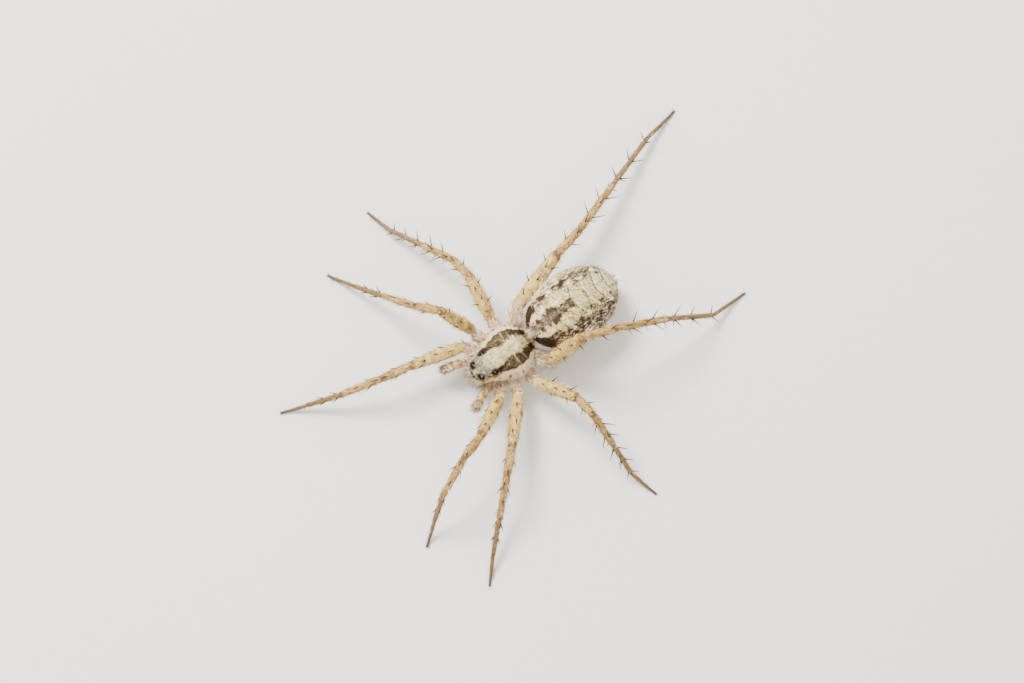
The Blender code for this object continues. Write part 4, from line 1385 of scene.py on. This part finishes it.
def addCoat():
    dice = np.random.default_rng(7)
    x, y, z = triangleMiddles.T
    side = np.abs(x)
    carapace, abdomen, under, face, leg = map(onRegion, ("carapace", "abdomen", "under", "face", "leg"))

    layCoat("coat_carapace", carapace, dice,
            lambda lengths, places, stretches: lengths * (1 - 0.35 * fade(-2.0, -2.6, places[:, 1])))

    # the coarse pale hairs down the middle, which fringe the dark bands
    edge = onTable(carapaceMarks["bandInner"], y) - 0.02 - 0.05 * fade(-1.7, -2.0, y)
    fringe = (side < edge + 0.13) * (y > -1.9) * 0.30
    rows = carapace * np.maximum(side < edge, fringe) * (y > -2.70) * (y < -0.34) * (triangleUp > 0.3)
    rows *= 1 - 0.92 * headField(side, y)
    layCoat("coat_carapace_band", rows, dice,
            lambda lengths, places, stretches: lengths * (1 - 0.4 * fade(-2.0, -2.5, places[:, 1])),
            shades=paleShades)

    layCoat("coat_abdomen", abdomen * (z > 1.25), dice)
    layCoat("coat_belly", abdomen * (z <= 1.25), dice)

    # longer hairs of the abdomen's front, which close over the waist
    tuft = (side < 0.2) * (y < 0.42)
    rows = abdomen * (tuft + (y < 0.10) * (side < 0.75)) * (z > 1.45)
    layCoat("coat_waist", rows * (1 + 2 * tuft), dice,
            lambda lengths, places, stretches: lengths + 0.08 * (np.abs(places[:, 0]) < 0.2), combForward)

    near = np.maximum(triangleStretches < 2.5, palpShare)
    layCoat("coat_legs_upper", leg * near * bareShare, dice, thinnerFeet)
    layCoat("coat_legs_lower", leg * (1 - near), dice, thinnerFeet)

    coxae = leg * (triangleStretches < 1.0) * 1.1 * bareShare
    waistShare = 1 + 1.5 * (np.abs(y + 0.25) < 0.35)
    layCoat("coat_under", (under + coxae) * waistShare, dice,
            lambda lengths, places, stretches: lengths * (1 + 0.7 * within(-0.5, 0.3, places[:, 1], 0.1)))
    layCoat("coat_jaws", face + leg * palpShare, dice)

    # fine single hairs that stand clear of the coat and soften its outline
    layCoat("coat_long", leg + 0.7 * abdomen + (0.5 * carapace + 2.0 * face), dice,
            lambda lengths, places, stretches: lengths * np.where(stretches > 4, 0.7, 1.0))

    # dark bristles of the jaws and of the ends of the feelers
    layCoat("coat_bristles", 0.5 * face * (z > 1.2) + leg * palpTipShare, dice, shades=darkShades)


addCoat()

spinePlan = {
    "radius": 0.031,
    "rings": (0.0, 0.03, 0.12, 0.45, 0.8),  # shares of a spine's length
    "swells": (1.7, 1.5, 1.0, 0.75, 0.4),  # thickness there; the foot is a low bulb
    "sides": 5,
    "bend": 12,
    "lean": {1: 34, 2: 36, 3: 58, 4: 60},  # angle off the leg
    "lowLean": 20,  # of a spine that would stand higher than the carapace and the knees
    "lowShare": 0.55,
    "clearance": 0.01,  # above the floor
    "length": {1: 0.36, 2: 0.38, 3: 0.54, 4: 0.62},
    "sites": {  # share along the piece, turn round it from the top towards the head, length share
        "femur": ((0.22, 8, 0.9), (0.50, -5, 1.0), (0.74, 4, 0.9), (0.42, 62, 0.8), (0.82, 60, 0.8),
                  (0.38, -62, 0.8), (0.80, -60, 0.8)),
        "patella": ((0.50, 78, 0.8), (0.50, -78, 0.8), (0.88, 0, 0.6)),
        "tibia": ((0.14, 10, 0.9), (0.56, -8, 0.9), (0.30, 72, 1.1), (0.66, 70, 1.1), (0.30, -72, 1.1),
                  (0.68, -70, 1.1), (0.22, 150, 1.1), (0.24, -150, 1.1), (0.55, 150, 1.1), (0.92, 145, 0.9),
                  (0.92, -145, 0.9)),
        "metatarsus": ((0.12, 75, 1.0), (0.12, -75, 1.0), (0.14, 150, 1.1), (0.14, -150, 1.1),
                       (0.52, 70, 0.9), (0.52, -70, 0.9), (0.55, 150, 0.9), (0.93, 80, 0.7),
                       (0.93, -80, 0.7)),
    },
}


def surfaceSite(side, number, piece, share, turn):
    # a place on a leg's skin, the way out of it and the way along the leg
    places, girths, stretches = legPath(side, number)
    at = legPlan["pieces"].index(piece) + share
    index = int(np.argmin(np.abs(stretches - at)))
    along = unit(np.gradient(places, axis=0))[index]
    up = unit(np.array((0.0, 0.0, 1.0)) - along * along[2])
    ahead = unit(np.cross(up, along)) * outward[side]
    ahead = ahead if ahead[1] < 0 or abs(ahead[1]) < 0.2 else -ahead
    turned = math.radians(turn)
    out = up * math.cos(turned) + ahead * math.sin(turned)
    return places[index] + out * girths[index], out, along


def spineShape(root, out, along, length, lean, plan):
    # points of one thorn: rings from its foot and a sharp tip
    across = unit(np.cross(along, out))
    sides, bend, radius = plan["sides"], plan["bend"], plan["radius"]
    rings = []
    centre, last = root - out * 0.02, 0.0
    for share, swell in zip(plan["rings"], plan["swells"]):
        angle = math.radians(lean - bend * share)
        way = along * math.cos(angle) + out * math.sin(angle)
        centre = centre + way * length * (share - last)
        last = share
        up = out * math.cos(angle) - along * math.sin(angle)
        for step in range(sides):
            turn = 2 * math.pi * step / sides
            rings.append(centre + radius * swell * (across * math.cos(turn) + up * math.sin(turn)))
    rings.append(centre + way * length * (1 - last))
    return np.array(rings)


def spineTriangles(plan):
    sides, count = plan["sides"], len(plan["rings"])
    faces = [(0, step, step + 1) for step in range(1, sides - 1)]
    for ring in range(count - 1):
        for step in range(sides):
            a, b = ring * sides + step, ring * sides + (step + 1) % sides
            faces += [(a, b + sides, b), (a, a + sides, b + sides)]
    start, tip = (count - 1) * sides, count * sides
    faces += [(start + step, tip, start + (step + 1) % sides) for step in range(sides)]
    return np.array(faces)


def joinShapes(name, shapes, faces, finish):
    size = len(shapes[0])
    triangles = np.concatenate([faces + size * index for index in range(len(shapes))])
    piece = meshFromTriangles(name, np.concatenate(shapes), triangles)
    piece.data.materials.append(finish)
    editAll(piece, faceOutwards)
    finishPiece(piece)


def addSpines():
    plan = spinePlan
    dice = np.random.default_rng(11)
    ceiling = (solidBox[1][2] - solidBox[0][2]) / mm * 1.02
    for side in outward:
        for number in legPlan["lengths"]:
            shapes = []
            for piece, sites in plan["sites"].items():
                for share, turn, longer in sites:
                    outer = piece in ("tibia", "metatarsus") and abs(turn) < 100 and share > 0.6
                    if number < 3 and outer:  # the front two pairs have fewer
                        continue
                    share = share + dice.uniform(-0.03, 0.03)
                    root, out, along = surfaceSite(side, number, piece, share, turn + dice.uniform(-8, 8))
                    length = plan["length"][number] * longer * dice.uniform(0.85, 1.15)
                    lean = plan["lean"][number] + dice.uniform(-8, 8)
                    if root[2] + length * out[2] > ceiling:
                        length *= plan["lowShare"]
                        lean = plan["lowLean"]
                    shape = spineShape(root, out, along, length, lean, plan)
                    if shape[:, 2].min() >= plan["clearance"]:
                        shapes.append(shape)
            joinShapes(f"spines_{side}_{number}", shapes, spineTriangles(plan), hornFinish)


addSpines()

clawPlan = {
    "radius": 0.016,
    "rings": (0.0, 0.25, 0.5, 0.75),
    "swells": (1.0, 0.95, 0.8, 0.5),
    "sides": 5,
    "bend": 50,
    "lean": 18,
    "length": 0.13,
    "spread": 28,
}


def addClaws():
    # two hooked claws at the end of each leg, curving down to the floor
    shapes = []
    for side in outward:
        for number in legPlan["lengths"]:
            places, _, _ = legPath(side, number)
            along = unit(places[-1] - places[-3])
            up = unit(np.array((0.0, 0.0, 1.0)) - along * along[2])
            across = np.cross(along, up)
            for out in (1, -1):
                turn = math.radians(clawPlan["spread"] * out)
                way = along * math.cos(turn) + across * math.sin(turn)
                root = places[-1] - along * 0.02 + across * out * 0.02 + up * 0.012
                shape = spineShape(root, up, way, clawPlan["length"], clawPlan["lean"], clawPlan)
                shape[:, 2] = np.maximum(shape[:, 2], 0.001)
                shapes.append(shape)
    joinShapes("claws", shapes, spineTriangles(clawPlan), hornFinish)


addClaws()

eyeShape = {
    "segments": 40,
    "rings": 28,
    "lookWays": {  # where each eye looks
        "eye_front_inner": (0.15, -1.0, 0.10),
        "eye_front_outer": (0.35, -1.0, 0.05),
        "eye_middle": (0.35, -0.80, 0.55),
        "eye_rear": (0.72, 0.10, 0.70),
    },
    "collar": 0.10,
}


def addEyes():
    for name, radius, centre, _ in eyeCentres():
        kind, side = name.rsplit("_", 1)
        look = np.array(eyeShape["lookWays"][kind]) * (outward[side], 1, 1)
        deselectAll()
        segments, rings = eyeShape["segments"], eyeShape["rings"]
        bpy.ops.mesh.primitive_uv_sphere_add(segments=segments, ring_count=rings, radius=1)
        eye = bpy.context.active_object
        eye.name = f"lens_{name}"
        ball = readPoints(eye)
        polar = np.degrees(np.arccos(np.clip(ball[:, 2], -1, 1)))
        # a clear dome, a fine groove where it meets the socket, and a collar that sinks into the head
        collar = eyeShape["collar"] * np.exp(-((polar - 92) / 10) ** 2)
        swell = 1 - 0.05 * np.exp(-((polar - 74) / 5) ** 2) + collar
        swell *= np.where(polar > 110, 0.9, 1.0)
        turned = Vector(look).to_track_quat("Z", "Y").to_matrix()
        writePoints(eye, ball * swell[:, None] * radius @ np.array(turned).T + centre)
        bpy.ops.object.shade_smooth()
        eye.data.materials.append(eyeFinish)
        finishPiece(eye)
        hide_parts(name)


addEyes()

fangPlan = {
    "root": (0.25, -3.04, 0.80),
    "sweep": (-0.10, 0.187, -0.2448),  # how far it goes inwards, back and down
    "turn": 80,
    "points": 9,
    "radius": 0.065,
    "tip": 0.12,  # share of the radius
}


def addFangs():
    for side, out in outward.items():
        turns = np.radians(np.linspace(0, fangPlan["turn"], fangPlan["points"]))
        bows = np.stack((np.sin(turns), 1 - np.cos(turns), np.sin(turns)), 1)
        arc = (np.array(fangPlan["root"]) + np.array(fangPlan["sweep"]) * bows) * (out, 1, 1)
        arc = np.concatenate((arc[:1] + (0, 0, 0.08), arc))
        thins = np.linspace(1, fangPlan["tip"], fangPlan["points"])
        girths = fangPlan["radius"] * np.concatenate(((1.0,), thins))
        fang = addLimb(f"fang_horn_{side}", arc, girths, 4)
        bpy.ops.object.shade_smooth()
        fang.data.materials.clear()
        fang.data.materials.append(fangFinish)
        finishPiece(fang)
        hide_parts(f"fang_{side}")


addFangs()

finishPiece(skin)
fleshNodes = ["carapace", "sternum", "pedicel", "abdomen", "spinnerets"]
legParts = ("coxa", "femur", "patella", "tibia", "foot")
for side in outward:
    fleshNodes += [f"jaw_{side}", f"palp_{side}"]
    for number in legPlan["lengths"]:
        fleshNodes += [f"leg_{side}_{number}_{part}" for part in legParts]
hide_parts(*fleshNodes)
print("pieces done")

studio = {
    "floorSize": 0.6,
    "floorColour": (214, 212, 206),
    "world": 1.9,
    "worldColour": (1.0, 0.965, 0.90),
    "keyPower": 0.95,
    "keySize": 0.07,
    "keyPlace": (-0.11, -0.01, 0.15),
    "fillPower": 0.05,
    "fillPlace": (0.12, -0.08, 0.10),
    "catchPower": 1.6,  # a lamp that only the eyes mirror
    "catchPlace": (0.045, 0.02, 0.12),
    "azimuth": 54.6,
    "elevation": 80,
    "distance": 0.2,
    "viewWidth": 0.046,
    "aim": (-0.5226, -0.6083, 0),  # millimetres from the waist
}


def addStudio():
    deselectAll()
    bpy.ops.mesh.primitive_plane_add(size=studio["floorSize"], location=(0, 0, 0))
    floor = bpy.context.active_object
    floor.name = "floor"
    material, tree, shader = nodesOf("paleFloor")
    pale = linear(studio["floorColour"])
    colour, _ = cloudColour(tree, 60, (pale * 0.985, pale * 1.0))
    feed(shader, {"Base Color": colour, "Roughness": 0.8})
    floor.data.materials.append(material)
    world = bpy.data.worlds.new("softRoom")
    bpy.context.scene.world = world
    world.use_nodes = True
    air = {"Color": (*studio["worldColour"], 1), "Strength": studio["world"]}
    feed(world.node_tree.nodes["Background"], air)
    eyes = bpy.data.collections.new("eyes")
    for piece in bpy.data.objects:
        if piece.type == "MESH" and eyeFinish.name in piece.data.materials:
            eyes.objects.link(piece)
    for name in ("key", "fill", "catch"):
        place = studio[name + "Place"]
        lamp = bpy.data.lights.new(name, "AREA")
        lamp.energy = studio[name + "Power"]
        lamp.size = studio["keySize"]
        lampObject = bpy.data.objects.new(name, lamp)
        lampObject.location = place
        lampObject.rotation_euler = Vector(place).to_track_quat("Z", "Y").to_euler()
        bpy.context.scene.collection.objects.link(lampObject)
        if name == "catch":
            lampObject.visible_diffuse = False
            lampObject.visible_camera = False
            lampObject.light_linking.receiver_collection = eyes


def addCamera():
    turn, rise = math.radians(studio["azimuth"]), math.radians(studio["elevation"])
    back = Vector((math.sin(turn) * math.cos(rise), -math.cos(turn) * math.cos(rise), math.sin(rise)))
    camera = bpy.data.cameras.new("camera")
    camera.sensor_width = 36
    camera.lens = studio["distance"] / studio["viewWidth"] * camera.sensor_width
    camera.clip_start = 0.001
    camera.clip_end = 10
    holder = bpy.data.objects.new("camera", camera)
    bpy.context.scene.collection.objects.link(holder)
    holder.location = waist + Vector(studio["aim"]) * mm + back * studio["distance"]
    holder.rotation_euler = back.to_track_quat("Z", "Y").to_euler()
    bpy.context.scene.camera = holder


addStudio()
addCamera()
